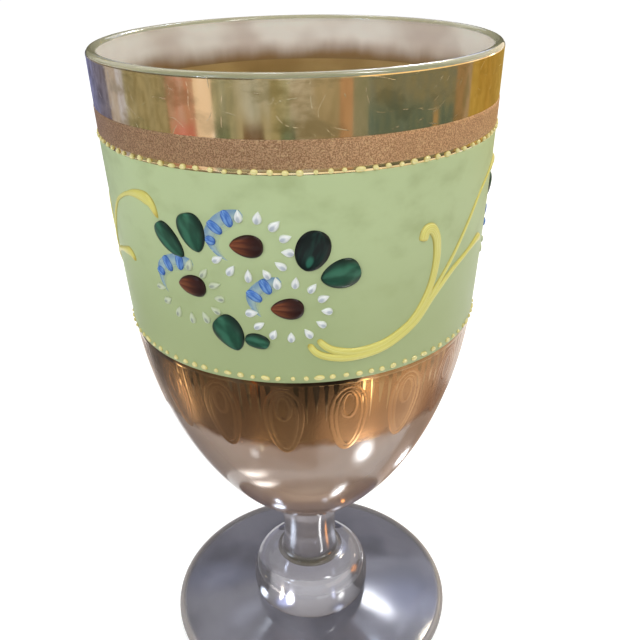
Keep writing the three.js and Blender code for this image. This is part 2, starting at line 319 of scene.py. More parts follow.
@dataclass(frozen=True)
class BlownGlass(Finish):
    """Soda glass, blown and fire polished: clear and glossy, its tints painted shade and reflection."""

    low_tint: str = "#c0bec4"
    high_tint: str = "#c0bec4"
    painted_cloud: str = "#a5a3aa"
    painted_cloud_size: Point = (16.0, 16.0, 16.0)
    painted_cloud_span: Place = (0.35, 0.68)
    painted_edge_shade: str = "#a5a3aa"
    edge_blend: float = 0.4
    edge_span: Place = (0.35, 0.85)
    low_clarity: float = 0.95
    high_clarity: float = 0.95
    low_roughness: float = 0.02
    high_roughness: float = 0.02
    fade_heights: Place = (64.0, 72.0)
    lip_tint: str = "#b2b08e"
    lip_clarity: float = 0.45
    lip_heights: Place = (139.15, 139.45)
    painted_rim_light: str = "#a8a4a2"
    rim_radii: Place | None = None
    wave_size: Point = (14.0, 14.0, 9.0)
    relief: Place = (0.25, 0.2)

    def shade(self, tree: Tree) -> Socket:
        """Glass whose tint changes with height, with the slow waves of hand blowing.

        Args:
            tree: The material's nodes.

        Returns:
            The shader.
        """
        height = self.height(tree)
        clear = self.overlay(tree, self.low_tint, self.high_tint, height, self.fade_heights)
        # Painted clouds of shade and reflection, and painted shade at the sides seen on the slant.
        shaded_tint = self.overlay(tree, clear, self.painted_cloud, self.grain(tree, self.painted_cloud_size), self.painted_cloud_span)
        slant = add_node(tree, "LayerWeight", None, {"Blend": self.edge_blend}, "Facing")
        shaded_tint = self.overlay(tree, shaded_tint, self.painted_edge_shade, slant, self.edge_span)
        tint = self.overlay(tree, shaded_tint, clear, height, self.fade_heights)
        tint = self.overlay(tree, tint, self.lip_tint, height, self.lip_heights)
        fade = (height, *self.fade_heights, self.low_clarity, self.high_clarity)
        clarity = add_node(tree, "MapRange", SOFT_STEP, fade)
        lip = (height, *self.lip_heights, clarity, self.lip_clarity)
        clarity = add_node(tree, "MapRange", SOFT_STEP, lip)
        # A pale painted line of light round the rim of a plate.
        if self.rim_radii:
            place = add_node(tree, "TexCoord", output="Object")
            level = (1 / MM, 1 / MM, 0.0)
            flat = add_node(tree, "VectorMath", {"operation": "MULTIPLY"}, (place, level))
            away = add_node(tree, "VectorMath", {"operation": "LENGTH"}, (flat,), "Value")
            tint = self.overlay(tree, tint, self.painted_rim_light, away, self.rim_radii)
            rim = (away, *self.rim_radii, clarity, self.lip_clarity)
            clarity = add_node(tree, "MapRange", SOFT_STEP, rim)
        fade = (height, *self.fade_heights, self.low_roughness, self.high_roughness)
        inputs = {
            "Base Color": tint,
            "Roughness": add_node(tree, "MapRange", SOFT_STEP, fade),
            "IOR": GLASS_IOR,
            "Transmission Weight": clarity,
        }
        return self.skin(tree, inputs, self.grain(tree, self.wave_size), self.relief)


@dataclass(frozen=True)
class FusedJoint(Finish):
    """Where two gathers of glass are fused hot: nothing shows, so light goes straight on."""

    def shade(self, tree: Tree) -> Socket:
        """A clear way through."""
        return add_node(tree, "BsdfTransparent")


@dataclass(frozen=True)
class BurnishedGold(Finish):
    """Bright fired gold rubbed with a burnisher: a mirror with upright streaks and hairline scratches.

    Its streaks and clouds are partly painted reflection. The real scratches are too fine to show in the
    render, so they are drawn coarser.
    """

    pale: str = "#ecdcb8"
    body: str = "#d9bf8c"
    dark: str = "#bfaa7c"
    streak_size: Point = (6.0, 6.0, 72.0)
    streak_span: Place = (0.5, 0.68)
    cloud_size: Point = (6.0, 6.0, 4.2)
    cloud_detail: float = 4.0
    cloud_span: Place = (0.52, 0.7)
    roughness: Place = (0.054, 0.135)
    scratch_sizes: Place = (8.0, 12.5)
    scratch_step: float = 0.1
    scratch_width: float = 0.009
    scratch_break: float = 0.2
    scratch_span: Place = (0.52, 0.62)
    scratch_depth: float = 0.5
    scratch_roughness: float = 0.45
    relief: Place = (0.35, 0.03)

    def shade(self, tree: Tree) -> Socket:
        """Streaks of paler and darker gold, partly painted reflection, and scratches that catch the light.

        Args:
            tree: The material's nodes.

        Returns:
            The shader.
        """
        cloud = self.grain(tree, self.cloud_size, self.cloud_detail)
        streak = self.grain(tree, self.streak_size)
        # The paler streaks and darker clouds are partly the gold's own and partly painted reflection.
        colour = self.overlay(tree, self.body, self.pale, streak, self.streak_span)
        colour = self.overlay(tree, colour, self.dark, cloud, self.cloud_span)
        worn = self.scratches(tree)
        smooth = add_node(tree, "MapRange", None, (cloud, 0.0, 1.0, *self.roughness))
        rough = (worn, 0.0, 1.0, smooth, self.scratch_roughness)
        inputs = {
            "Base Color": add_node(tree, "Mix", COLOURS, {0: worn, 6: colour, 7: self.pale}, MIXED),
            "Metallic": 1.0,
            "Roughness": add_node(tree, "MapRange", None, rough),
        }
        return self.skin(tree, inputs, worn, self.relief)

    def scratches(self, tree: Tree) -> Socket:
        """Hairlines along the level lines of slow noise, broken into short lengths by finer noise.

        Args:
            tree: The material's nodes.

        Returns:
            How deep the gold is scratched.
        """
        worn = 0.0
        for size in self.scratch_sizes:
            slow = self.grain(tree, (size,) * 3, 0.0)
            level = add_node(tree, "Math", {"operation": "PINGPONG"}, (slow, self.scratch_step))
            fine = self.grain(tree, (self.scratch_break * size,) * 3)
            length = (fine, *self.scratch_span, 0.0, self.scratch_depth)
            depth = add_node(tree, "MapRange", SOFT_STEP, length)
            hair = add_node(tree, "MapRange", SOFT_STEP, (level, self.scratch_width, 0.0, 0.0, depth))
            worn = add_node(tree, "Math", {"operation": "MAXIMUM"}, (hair, worn))
        return worn


@dataclass(frozen=True)
class SandedGold(Finish):
    """Gold fired over a sanded paste: matt copper-coloured grit, painted shade in hollows, painted sparkle.
    """

    body: str = "#d0aa84"
    hollow: str = "#a07b59"
    painted_spark: str = "#d6b88e"
    grit: float = 0.22
    grit_detail: float = 1.0
    grit_span: Place = (0.38, 0.62)
    wear: float = 0.25
    wear_size: Point = (9.0, 9.0, 5.0)
    wear_span: Place = (0.5, 0.75)
    painted_spark_span: Place = (0.9, 1.0)
    metallic: float = 0.75
    roughness: float = 0.5
    relief: Place = (0.7, 0.15)

    def shade(self, tree: Tree) -> Socket:
        """Grit with painted shade in its hollows, darker where worn, and painted sparkle on a few grains.

        Args:
            tree: The material's nodes.

        Returns:
            The shader.
        """
        grit = self.grain(tree, (self.grit,) * 3, self.grit_detail)
        # Painted shade: the grit's hollows take the darker colour, which worn patches take too.
        colour = self.overlay(tree, self.hollow, self.body, grit, self.grit_span)
        patch = self.grain(tree, self.wear_size)
        worn = add_node(tree, "MapRange", SOFT_STEP, (patch, *self.wear_span, 0.0, self.wear))
        colour = add_node(tree, "Mix", COLOURS, {0: worn, 6: colour, 7: self.hollow}, MIXED)
        # Painted sparkle: a paler colour on a few grains.
        place = add_node(tree, "TexCoord", output="Object")
        scaled = {"Vector": place, "Scale": 1 / (self.grit * MM)}
        grains = add_node(tree, "TexVoronoi", None, scaled, "Color")
        pick = add_node(tree, "SeparateColor", None, (grains,))
        inputs = {
            "Base Color": self.overlay(tree, colour, self.painted_spark, pick, self.painted_spark_span),
            "Metallic": self.metallic,
            "Roughness": self.roughness,
        }
        return self.skin(tree, inputs, grit, self.relief)


@dataclass(frozen=True)
class EtchedGold(ThinFilm):
    """Gold over acid-etched glass: a satin copper-gold with a fine stipple.

    The real stipple is too fine to show in the render, so it is drawn coarser.
    """

    body: str = "#a57a50"
    shadow: str = "#8a6340"
    stipple: float = 0.35
    stipple_detail: float = 1.0
    stipple_span: Place = (0.6, 0.75)
    cloud_size: Point = (10.0, 10.0, 18.0)
    cloud_span: Place = (0.35, 0.65)
    roughness: float = 0.27
    relief: Place = (0.3, 0.06)

    def shade(self, tree: Tree) -> Socket:
        """A stipple over slow changes of tone.

        Args:
            tree: The material's nodes.

        Returns:
            The shader.
        """
        stipple = self.grain(tree, (self.stipple,) * 3, self.stipple_detail)
        cloud = self.grain(tree, self.cloud_size)
        colour = self.overlay(tree, self.shadow, self.body, cloud, self.cloud_span)
        inputs = {
            "Base Color": self.overlay(tree, colour, self.shadow, stipple, self.stipple_span),
            "Metallic": 1.0,
            "Roughness": self.roughness,
            "Alpha": self.cover(tree),
        }
        return self.skin(tree, inputs, stipple, self.relief)


@dataclass(frozen=True)
class FilmBack(ThinFilm):
    """The fired side of a gilt or enamel film, seen through the glass: paler and matt, with a painted glow.
    """

    body: str = "#f3eee8"
    cloudy: str = "#d8cbc2"
    cloud_size: Point = (16.0, 16.0, 10.0)
    cloud_span: Place = (0.4, 0.7)
    glow: float = 0.36
    stain: str = "#8a6a44"
    stain_heights: Place | None = None
    stain_size: Point = (8.0, 8.0, 30.0)
    stain_detail: float = 3.0
    stain_swing: float = 2.2
    roughness: float = 0.35

    def shade(self, tree: Tree) -> Socket:
        """A soft matt tone with slow clouds in it, and a painted glow for the light the film lets through.

        Args:
            tree: The material's nodes.

        Returns:
            The shader.
        """
        cloud = self.grain(tree, self.cloud_size)
        colour = self.overlay(tree, self.body, self.cloudy, cloud, self.cloud_span)
        if self.stain_heights:
            patch = self.grain(tree, self.stain_size, self.stain_detail)
            swing = (-self.stain_swing, self.stain_swing)
            ragged = add_node(tree, "MapRange", None, (patch, 0.0, 1.0, *swing))
            level = add_node(tree, "Math", None, (self.height(tree), ragged))
            colour = self.overlay(tree, colour, self.stain, level, self.stain_heights[::-1])
        inputs = {
            "Base Color": colour,
            "Roughness": self.roughness,
            # Painted glow: the film's back gives off light, standing for light let through the film.
            "Emission Color": colour,
            "Emission Strength": self.glow,
            "Alpha": self.cover(tree),
        }
        return add_node(tree, "BsdfPrincipled", None, inputs)


@dataclass(frozen=True)
class SatinEnamel(Finish):
    """Opaque enamel, painted on a turning bowl and fired to a satin skin."""

    upper: str = "#b9c995"
    lower: str = "#a7b580"
    heights: Place = (90.0, 120.0)
    cloud_size: Point = (7.0, 7.0, 5.0)
    cloud_detail: float = 3.0
    cloud_span: Place = (0.45, 0.85)
    brush_size: Point = (12.0, 12.0, 0.5)
    roughness: Place = (0.36, 0.5)
    relief: Place = (0.12, 0.05)

    def shade(self, tree: Tree) -> Socket:
        """Sage green, a little deeper lower down, with faint clouds and brush lines.

        Args:
            tree: The material's nodes.

        Returns:
            The shader.
        """
        colour = self.overlay(tree, self.lower, self.upper, self.height(tree), self.heights)
        cloud = self.grain(tree, self.cloud_size, self.cloud_detail)
        inputs = {
            "Base Color": self.overlay(tree, colour, self.lower, cloud, self.cloud_span),
            "Roughness": add_node(tree, "MapRange", None, (cloud, 0.0, 1.0, *self.roughness)),
            "IOR": GLASS_IOR,
        }
        return self.skin(tree, inputs, self.grain(tree, self.brush_size), self.relief)


@dataclass(frozen=True)
class BrushedEnamel(Finish):
    """Raised enamel from a loaded brush, glossy, with its colour drawn out along the stroke.

    Places in a stroke run from -1 to 1 along and across it. Its edge runs from 0 to 1 outwards.
    """

    body: str
    light: str
    edge: str
    end: str
    edge_start: float = 0.55
    end_span: Place = (0.3, 0.8)
    dot: str = ""
    dot_along: float = 0.0
    dot_reach: float = 0.0
    dot_core: float = 0.4
    hairs: float = 2.5
    hair_span: Place = (0.4, 0.65)
    roughness: float = 0.24
    shine: float = 0.5
    relief: Place = (0.15, 0.06)

    def shade(self, tree: Tree) -> Socket:
        """Brush hairs along the stroke, another tone at its edge and end, and a dot of another tone.

        Args:
            tree: The material's nodes.

        Returns:
            The shader.
        """
        along, across, edge = (
            add_node(tree, "Attribute", {"attribute_name": trace.value}, output="Fac") for trace in Trace
        )
        spread = add_node(tree, "Math", {"operation": "MULTIPLY"}, (across, self.hairs))
        drawn = add_node(tree, "CombineXYZ", None, (along, spread))
        hair = add_node(tree, "TexNoise", None, {"Vector": drawn, "Scale": 1.0}, "Fac")
        colour = self.overlay(tree, self.body, self.light, hair, self.hair_span)
        colour = self.overlay(tree, colour, self.end, along, self.end_span)
        colour = self.overlay(tree, colour, self.edge, edge, (self.edge_start, 1.0))
        # A dot of another tone; on the dark leaf it is a painted reflection.
        if self.dot:
            place = add_node(tree, "CombineXYZ", None, (along, across))
            middle = (self.dot_along, 0.0, 0.0)
            away = add_node(tree, "VectorMath", {"operation": "DISTANCE"}, (place, middle), "Value")
            dot_spread = (self.dot_reach, self.dot_core * self.dot_reach)
            colour = self.overlay(tree, colour, self.dot, away, dot_spread)
        inputs = {
            "Base Color": colour,
            "Roughness": self.roughness,
            "IOR": GLASS_IOR,
            "Specular IOR Level": self.shine,
        }
        return self.skin(tree, inputs, hair, self.relief)


@dataclass(frozen=True)
class EnamelWash(Finish):
    """A thin wash of enamel that lets the colour under it through, thickest along its outer side."""

    body: str = "#b6d0d6"
    deep: str = "#7ea6cc"
    deep_span: Place = (0.1, -0.95)
    cloud_size: Point = (1.2, 1.2, 1.2)
    cloud_span: Place = (0.5, 0.75)
    inner_span: Place = (-0.4, 1.0)
    covers: Place = (0.7, 0.1)
    roughness: float = 0.25

    def shade(self, tree: Tree) -> Socket:
        """Pale blue that deepens outwards, with the sage green showing through.

        Args:
            tree: The material's nodes.

        Returns:
            The shader.
        """
        across = add_node(tree, "Attribute", {"attribute_name": Trace.ACROSS.value}, output="Fac")
        colour = self.overlay(tree, self.body, self.deep, across, self.deep_span)
        cloud = self.grain(tree, self.cloud_size)
        inputs = {
            "Base Color": self.overlay(tree, colour, self.body, cloud, self.cloud_span),
            "Roughness": self.roughness,
            "IOR": GLASS_IOR,
            "Alpha": add_node(tree, "MapRange", SOFT_STEP, (across, *self.inner_span, *self.covers)),
        }
        return add_node(tree, "BsdfPrincipled", None, inputs)


@dataclass(frozen=True)
class PaleFloor(Finish):
    """Matt white table board: white to the eye, metal and glass, and darker in shadow."""

    body: str = "#eeeeec"
    lift: float = 0.5

    def shade(self, tree: Tree) -> Socket:
        """Diffuse white, lifted to white where the eye, metal or glass sees it.

        Args:
            tree: The material's nodes.

        Returns:
            The shader.
        """
        glow = add_node(tree, "Math", {"operation": "MULTIPLY"}, (seen_directly(tree), self.lift))
        board = add_node(tree, "BsdfDiffuse", None, {"Color": self.body})
        light = add_node(tree, "Emission", None, {"Strength": glow})
        return add_node(tree, "AddShader", None, (board, light))


@dataclass(frozen=True)
class CardFinish(Finish):
    """A studio card, plain or dappled, that only polished surfaces mirror."""

    body: str
    strength: float
    dapple: str
    dapple_size: Point = (16.0, 16.0, 5.0)
    dapple_detail: float = 3.0
    dapple_span: Place = (0.45, 0.6)

    def shade(self, tree: Tree) -> Socket:
        """The card's tone with its dapples, evenly lit.

        Args:
            tree: The material's nodes.

        Returns:
            The shader.
        """
        fleck = self.grain(tree, self.dapple_size, self.dapple_detail)
        tone = self.overlay(tree, self.body, self.dapple, fleck, self.dapple_span)
        return add_node(tree, "Emission", None, {"Color": tone, "Strength": self.strength})


@dataclass(frozen=True)
class GlintFinish(Finish):
    """Light gathered by glass: brightest at the middle of the spot."""

    body: str
    strength: float
    fade_span: Place = (1.0, 0.15)

    def shade(self, tree: Tree) -> Socket:
        """Fades to nothing at the spot's edge and behind it.

        Args:
            tree: The material's nodes.

        Returns:
            The shader.
        """
        edge = add_node(tree, "Attribute", {"attribute_name": Trace.EDGE.value}, output="Fac")
        shown = add_node(tree, "MapRange", SOFT_STEP, (edge, *self.fade_span))
        behind = add_node(tree, "NewGeometry", output="Backfacing")
        share = add_node(tree, "MapRange", None, (behind, 0.0, 1.0, shown, 0.0))
        power = add_node(tree, "Math", {"operation": "MULTIPLY"}, (share, self.strength))
        light = add_node(tree, "Emission", None, {"Color": self.body, "Strength": power})
        clear = add_node(tree, "BsdfTransparent")
        return add_node(tree, "MixShader", None, (share, clear, light))


# Thin and clear behind the bands. On the belly, rosy clouds are a painted reflection of the gold,
# with painted shade at its sides.
BOWL_GLASS = BlownGlass(
    "blown soda glass, bowl",
    low_tint="#d8c2b0",
    high_tint="#e4e1da",
    painted_cloud="#c8aa92",
    painted_edge_shade="#8f6c54",
    low_clarity=0.55,
    high_clarity=1.0,
    low_roughness=0.13,
    fade_heights=(74.0, 82.0),
)
# A thick lens: painted grey shade, darker at its sides, with bright spots of the lights behind it.
KNOP_GLASS = BlownGlass(
    "blown soda glass, knop",
    low_tint="#94939a",
    high_tint="#bdbbc1",
    painted_cloud="#8a8990",
    painted_edge_shade="#66656c",
    low_clarity=0.75,
    high_clarity=0.85,
    low_roughness=0.1,
    high_roughness=0.06,
    fade_heights=(5.0, 13.0),
)
# A thick rod: painted grey shade, and a painted olive shade of the joint where it spreads into the knop.
STEM_GLASS = BlownGlass(
    "blown soda glass, stem",
    low_tint="#726c5c",
    high_tint="#a7a2a6",
    painted_cloud="#8e898e",
    low_clarity=0.55,
    high_clarity=0.6,
    low_roughness=0.1,
    high_roughness=0.1,
    fade_heights=(17.0, 19.0),
)
# A plate seen on the slant: painted bluish grey shade in clouds, a pale painted line of light at its edge.
FOOT_GLASS = BlownGlass(
    "blown soda glass, foot",
    low_tint="#8f8e97",
    high_tint="#8f8e97",
    painted_cloud="#74737c",
    painted_edge_shade="#7f7d84",
    low_clarity=0.92,
    high_clarity=0.92,
    low_roughness=0.08,
    painted_rim_light="#b9b2ac",
    rim_radii=(32.4, 33.8),
)
# Nothing to see.
JOINT = FusedJoint("fused glass joint")
# A mirror that shows what stands round it in pale gold.
RIM_GOLD = BurnishedGold("burnished fired gold")
# Milky white through the glass, with a painted glow and a brown stain along its lower edge.
RIM_GOLD_BACK = FilmBack("back of burnished gold", stain_heights=(130.6, 135.4))
# Matt copper grit with painted shade in its hollows and a little painted sparkle.
SAND_GOLD = SandedGold("sanded fired gold")
# Dull ochre through the glass, with a faint painted glow.
SAND_GOLD_BACK = FilmBack("back of sanded gold", body="#c4a269", cloudy="#a9864f", glow=0.2)
# Satin copper-gold that fades out into clear glass at its hem.
ETCHED_GOLD = EtchedGold("satin gold over etched glass", thin_width=3.4)
# Warm beige through the glass, with a painted glow.
ETCHED_GOLD_BACK = FilmBack(
    "back of satin gold", body="#c8ab95", cloudy="#b4947c", glow=0.4, thin_width=3.4
)
# Painted a little brighter than the ground: a painted highlight along the relief.
RIDGE_GOLD = EtchedGold("satin gold ridges", body="#b0855a", shadow="#966c46", roughness=0.24)
# Narrow mirrors that go from black to bright gold with what they face.
FLUTE_GOLD = BurnishedGold(
    "mirror gold flutes",
    pale="#b08a62",
    body="#9a774f",
    dark="#745a3d",
    scratch_span=(0.7, 0.8),
    roughness=(0.06, 0.15),
)
# Soft sage green, even and opaque.
SAGE = SatinEnamel("sage satin enamel")
# Greyer sage through the glass, with a faint painted glow.
SAGE_BACK = FilmBack("back of sage enamel", body="#a3b086", cloudy="#96a37a", glow=0.25)
# Deep bluish green with a lighter streak down the leaf and a near-black outline.
LEAF_GREEN = BrushedEnamel(
    "leaf green raised enamel",
    body="#1b4936",
    light="#336c53",
    edge="#0b2219",
    edge_start=0.35,
    end="#0d261c",
    end_span=(0.45, 0.95),
    hairs=1.1,
    roughness=0.3,
    shine=0.3,
)
# Almost black, with a painted green reflection near one end.
LEAF_DARK = BrushedEnamel(
    "dark green raised enamel",
    body="#0d1a18",
    light="#14302a",
    edge="#080f0e",
    end="#0c1716",
    dot="#2a6653",
    dot_along=0.35,
    dot_reach=0.3,
    roughness=0.3,
    shine=0.25,
)
# Chestnut, streaked by the brush and darker at one end.
EYE_BROWN = BrushedEnamel(
    "brown raised enamel",
    body="#64301a",
    light="#8c4d29",
    edge="#220a06",
    edge_start=0.6,
    end="#2a0d09",
    end_span=(0.65, -0.5),
    hairs=3.0,
    roughness=0.32,
    shine=0.3,
)
# Clean white drops with a grey spot towards the round end.
PETAL_WHITE = BrushedEnamel(
    "white raised enamel",
    body="#dfe3e0",
    light="#f0f1ee",
    edge="#c9d0c0",
    edge_start=0.65,
    end="#d9dfd4",
    dot="#b4bcc2",
    dot_along=-0.4,
    dot_reach=0.6,
    roughness=0.3,
)
# White so thin that the sage green shows through.
PETAL_THIN = BrushedEnamel(
    "thin white raised enamel",
    body="#c3ccae",
    light="#cdd4ba",
    edge="#b6c196",
    edge_start=0.45,
    end="#b9c59e",
    dot="#98a291",
    dot_along=-0.35,
    dot_reach=0.5,
    roughness=0.3,
)
# Cobalt blue with paler streaks.
PETAL_BLUE = BrushedEnamel(
    "blue raised enamel",
    body="#3b6bb6",
    light="#74a0d4",
    edge="#3a66b0",
    edge_start=0.8,
    end="#2f58a6",
    end_span=(0.3, 0.9),
    hairs=1.8,
    roughness=0.25,
)
# A veil of pale blue.
BLUE_WASH = EnamelWash("pale blue enamel wash")
# Lemon yellow, streaked along the stroke, with mustard edges and tips.
SCROLL_YELLOW = BrushedEnamel(
    "yellow raised enamel",
    body="#d7ce66",
    light="#e3df8d",
    edge="#bdae4c",
    edge_start=0.75,
    end="#cfb348",
    end_span=(0.9, 1.0),
    hairs=5.0,
    roughness=0.32,
)
# Pale yellow drops, glossy on top.
BEAD_YELLOW = BrushedEnamel(
    "yellow enamel beads",
    body="#e3d68c",
    light="#ebe2a8",
    edge="#cbbb70",
    edge_start=0.8,
    end="#e3d68c",
    roughness=0.25,
)


@dataclass
class MeshDraft:
    """A mesh in the making, in millimetres."""

    points: list[np.ndarray] = field(default_factory=list)
    faces: list[tuple[int, ...]] = field(default_factory=list)
    finish_numbers: list[int] = field(default_factory=list)
    traces: list[np.ndarray] = field(default_factory=list)
    count: int = 0

    def add_points(self, points: np.ndarray, traces: np.ndarray | None = None) -> np.ndarray:
        """Adds points.

        Args:
            points: Places, with X, Y and Z last.
            traces: Values for the Trace kinds in the same layout, or none.

        Returns:
            The points' numbers in the same layout.
        """
        kept = points.reshape(-1, 3)
        numbers = self.count + np.arange(len(kept)).reshape(points.shape[:-1])
        self.points.append(kept)
        self.traces.append(np.zeros_like(kept) if traces is None else traces.reshape(-1, 3))
        self.count += len(kept)
        return numbers

    def add_face(self, corners: tuple[int, ...], finish_number: int) -> None:
        """Adds a face, leaving out corners that repeat.

        Args:
            corners: Numbers of its points.
            finish_number: Its finish.
        """
        kept = tuple(dict.fromkeys(corners))
        if len(kept) > 2:
            self.faces.append(kept)
            self.finish_numbers.append(finish_number)

    def add_skin(self, sections: np.ndarray, finish_numbers: list[int], joined: bool) -> None:
        """Adds the faces between cross-sections.

        Args:
            sections: Point numbers, a row for each cross-section.
            finish_numbers: The finish of each stretch. One for each point closes the cross-sections.
            joined: Whether the last cross-section goes on to the first.
        """
        rows = sections.tolist()
        if joined:
            rows.append(rows[0])
        for near, far in zip(rows, rows[1:]):
            for k, finish_number in enumerate(finish_numbers):
                ahead = (k + 1) % len(near)
                self.add_face((near[k], far[k], far[ahead], near[ahead]), finish_number)

    def add_turned(self, profile: np.ndarray, finish_numbers: list[int]) -> None:
        """Turns a profile about the upright axis.

        Args:
            profile: (radius, height) points, anticlockwise seen with the axis on the left.
            finish_numbers: The finish of each stretch. One for each point closes the profile.
        """
        azimuths = 2 * np.pi * np.arange(TURN_STEPS) / TURN_STEPS
        rings = []
        for radius, height in profile:
            turned = azimuths if radius > 0 else azimuths[:1]
            ring = self.add_points(around_axis(radius, turned, height))
            rings.append(np.resize(ring, TURN_STEPS))
        self.add_skin(np.stack(rings, 1), finish_numbers, joined=True)

    def piece(self, name: str, finishes: list[Finish], node: str, slot: Slot) -> None:
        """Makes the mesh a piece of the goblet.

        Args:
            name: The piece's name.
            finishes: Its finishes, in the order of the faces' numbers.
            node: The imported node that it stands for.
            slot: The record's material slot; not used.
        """
        mesh = bpy.data.meshes.new(name)
        mesh.from_pydata((np.vstack(self.points) * MM).tolist(), [], self.faces)
        mesh.polygons.foreach_set("material_index", self.finish_numbers)
        values = np.vstack(self.traces)
        for column, trace in enumerate(Trace):
            layer = mesh.attributes.new(trace.value, "FLOAT", "POINT")
            layer.data.foreach_set("value", values[:, column].astype(np.float32))
        for finish in finishes:
            mesh.materials.append(finish.material())
        shape = bmesh.new()
        shape.from_mesh(mesh)
        bmesh.ops.recalc_face_normals(shape, faces=shape.faces)
        shape.to_mesh(mesh)
        shape.free()
        mesh.shade_smooth()
        mesh.set_sharp_from_angle(angle=SHARP_EDGE)
        piece = bpy.data.objects.new(name, mesh)
        bpy.context.scene.collection.objects.link(piece)
        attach(piece, BODY)
        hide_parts(node)
        LOG.info("%s: %d faces", name, len(mesh.polygons))


@dataclass(frozen=True)
class BowlOutline:
    """The bowl's profile: a wall, full by a little at its middle, then a round belly."""

    neck_height: float
    rim_height: float
    rim_diameter: float = 76.0
    wall: float = 1.9
    wall_fullness: float = 0.26
    shoulder_drop: float = 50.0
    shoulder_diameter: float = 71.5
    belly_upper_handle: float = 24.5
    belly_lower_handle: float = 20.0
    belly_lower_slope: float = 34.0
    neck_diameter: float = 14.0
    floor_thickness: float = 9.0
    hollow_upper_handle: float = 24.0
    hollow_lower_handle: float = 19.0
    belly_steps: int = 72
    wall_steps: int = 40
    lip_points: int = 15
    lip_gap: float = 0.2

    def wall_controls(self, inset: float) -> list[np.ndarray]:
        """Control points of the wall, from the rim to the shoulder.

        Args:
            inset: How far they are set in from the outside.

        Returns:
            Three (radius, height) points.
        """
        rim = np.array([self.rim_diameter / 2 - inset, self.rim_height])
        shoulder = np.array([self.shoulder_diameter / 2 - inset, self.rim_height - self.shoulder_drop])
        middle = (rim + shoulder) / 2 + np.array([2 * self.wall_fullness, 0.0])
        return [rim, middle, shoulder]

    def shoulder_slope(self) -> np.ndarray:
        """Direction of the wall where it meets the belly."""
        _, middle, shoulder = self.wall_controls(0.0)
        return (shoulder - middle) / np.linalg.norm(shoulder - middle)

    def outside(self) -> np.ndarray:
        """The outside, from the neck up to the rim.

        Returns:
            (radius, height) points.
        """
        wall = self.wall_controls(0.0)
        neck = np.array([self.neck_diameter / 2, self.neck_height])
        slope = math.radians(self.belly_lower_slope)
        reach = self.belly_lower_handle * np.array([math.cos(slope), math.sin(slope)])
        above = wall[-1] + self.belly_upper_handle * self.shoulder_slope()
        belly = bezier(neck, neck + reach, above, wall[-1], steps=self.belly_steps)
        return np.vstack([belly, bezier(*wall[::-1], steps=self.wall_steps)[1:]])

    def inside(self) -> np.ndarray:
        """The inside, from under the lip down to the middle of the bowl's floor.

        Returns:
            (radius, height) points.
        """
        wall = self.wall_controls(self.wall)
        floor_height = self.neck_height + self.floor_thickness
        above = wall[-1] + self.hollow_upper_handle * self.shoulder_slope()
        beside = (self.hollow_lower_handle, floor_height)
        hollow = bezier(wall[-1], above, beside, (0.0, floor_height), steps=self.belly_steps)
        return np.vstack([bezier(*wall, steps=self.wall_steps)[:-1], hollow])

    def radius(self, heights: np.ndarray) -> np.ndarray:
        """Outside radius at each height."""
        line = self.outside()
        return np.interp(heights, line[:, 1], line[:, 0])

    def lip(self, last_turn: float, off: np.ndarray | float = 0.0) -> np.ndarray:
        """The rounded lip, from its outer side.

        Args:
            last_turn: Degrees that the points go round.
            off: How far they stand off the glass.

        Returns:
            (radius, height) points.
        """
        round_off = self.wall / 2 + off
        turn = np.radians(np.linspace(0.0, last_turn, self.lip_points))
        middle = self.rim_diameter / 2 - self.wall / 2
        base = self.rim_height - self.wall / 2
        return np.stack([middle + round_off * np.cos(turn), base + round_off * np.sin(turn)], 1)

    def profile(self) -> np.ndarray:
        """The whole glass, from the neck's middle up the outside, over the lip and down the inside.

        Returns:
            (radius, height) points from axis to axis.
        """
        below_lip = self.rim_height - self.wall / 2 - self.lip_gap
        outside = self.outside()
        inside = self.inside()
        return np.vstack(
            [
                [[0.0, self.neck_height]],
                outside[outside[:, 1] < below_lip],
                self.lip(180.0),
                inside[inside[:, 1] < below_lip],
            ]
        )


@dataclass(frozen=True)
class BandPlace:
    """Turns places on a band of the bowl to points in space."""

    outline: BowlOutline
    middle: float
    coat: float
    turn: float = 0.0
    probe: float = 0.05

    def scale(self) -> float:
        """Radius that a distance along the band is measured at."""
        return float(self.outline.radius(np.array(self.middle)))

    def at(self, u: np.ndarray, v: np.ndarray, lift: np.ndarray) -> np.ndarray:
        """Points at places on the band.

        Args:
            u: Distances to the right, in millimetres.
            v: Distances up from the band's middle.
            lift: Distances off the band, square to it.

        Returns:
            An array with X, Y and Z last.
        """
        height = self.middle + v
        above = self.outline.radius(height + self.probe)
        below = self.outline.radius(height - self.probe)
        lean = (above - below) / (2 * self.probe)
        outward = 1 / np.sqrt(1 + lean**2)
        off = self.coat + lift
        radius = self.outline.radius(height) + off * outward
        return around_axis(radius, self.turn + u / self.scale(), height - off * lean * outward)


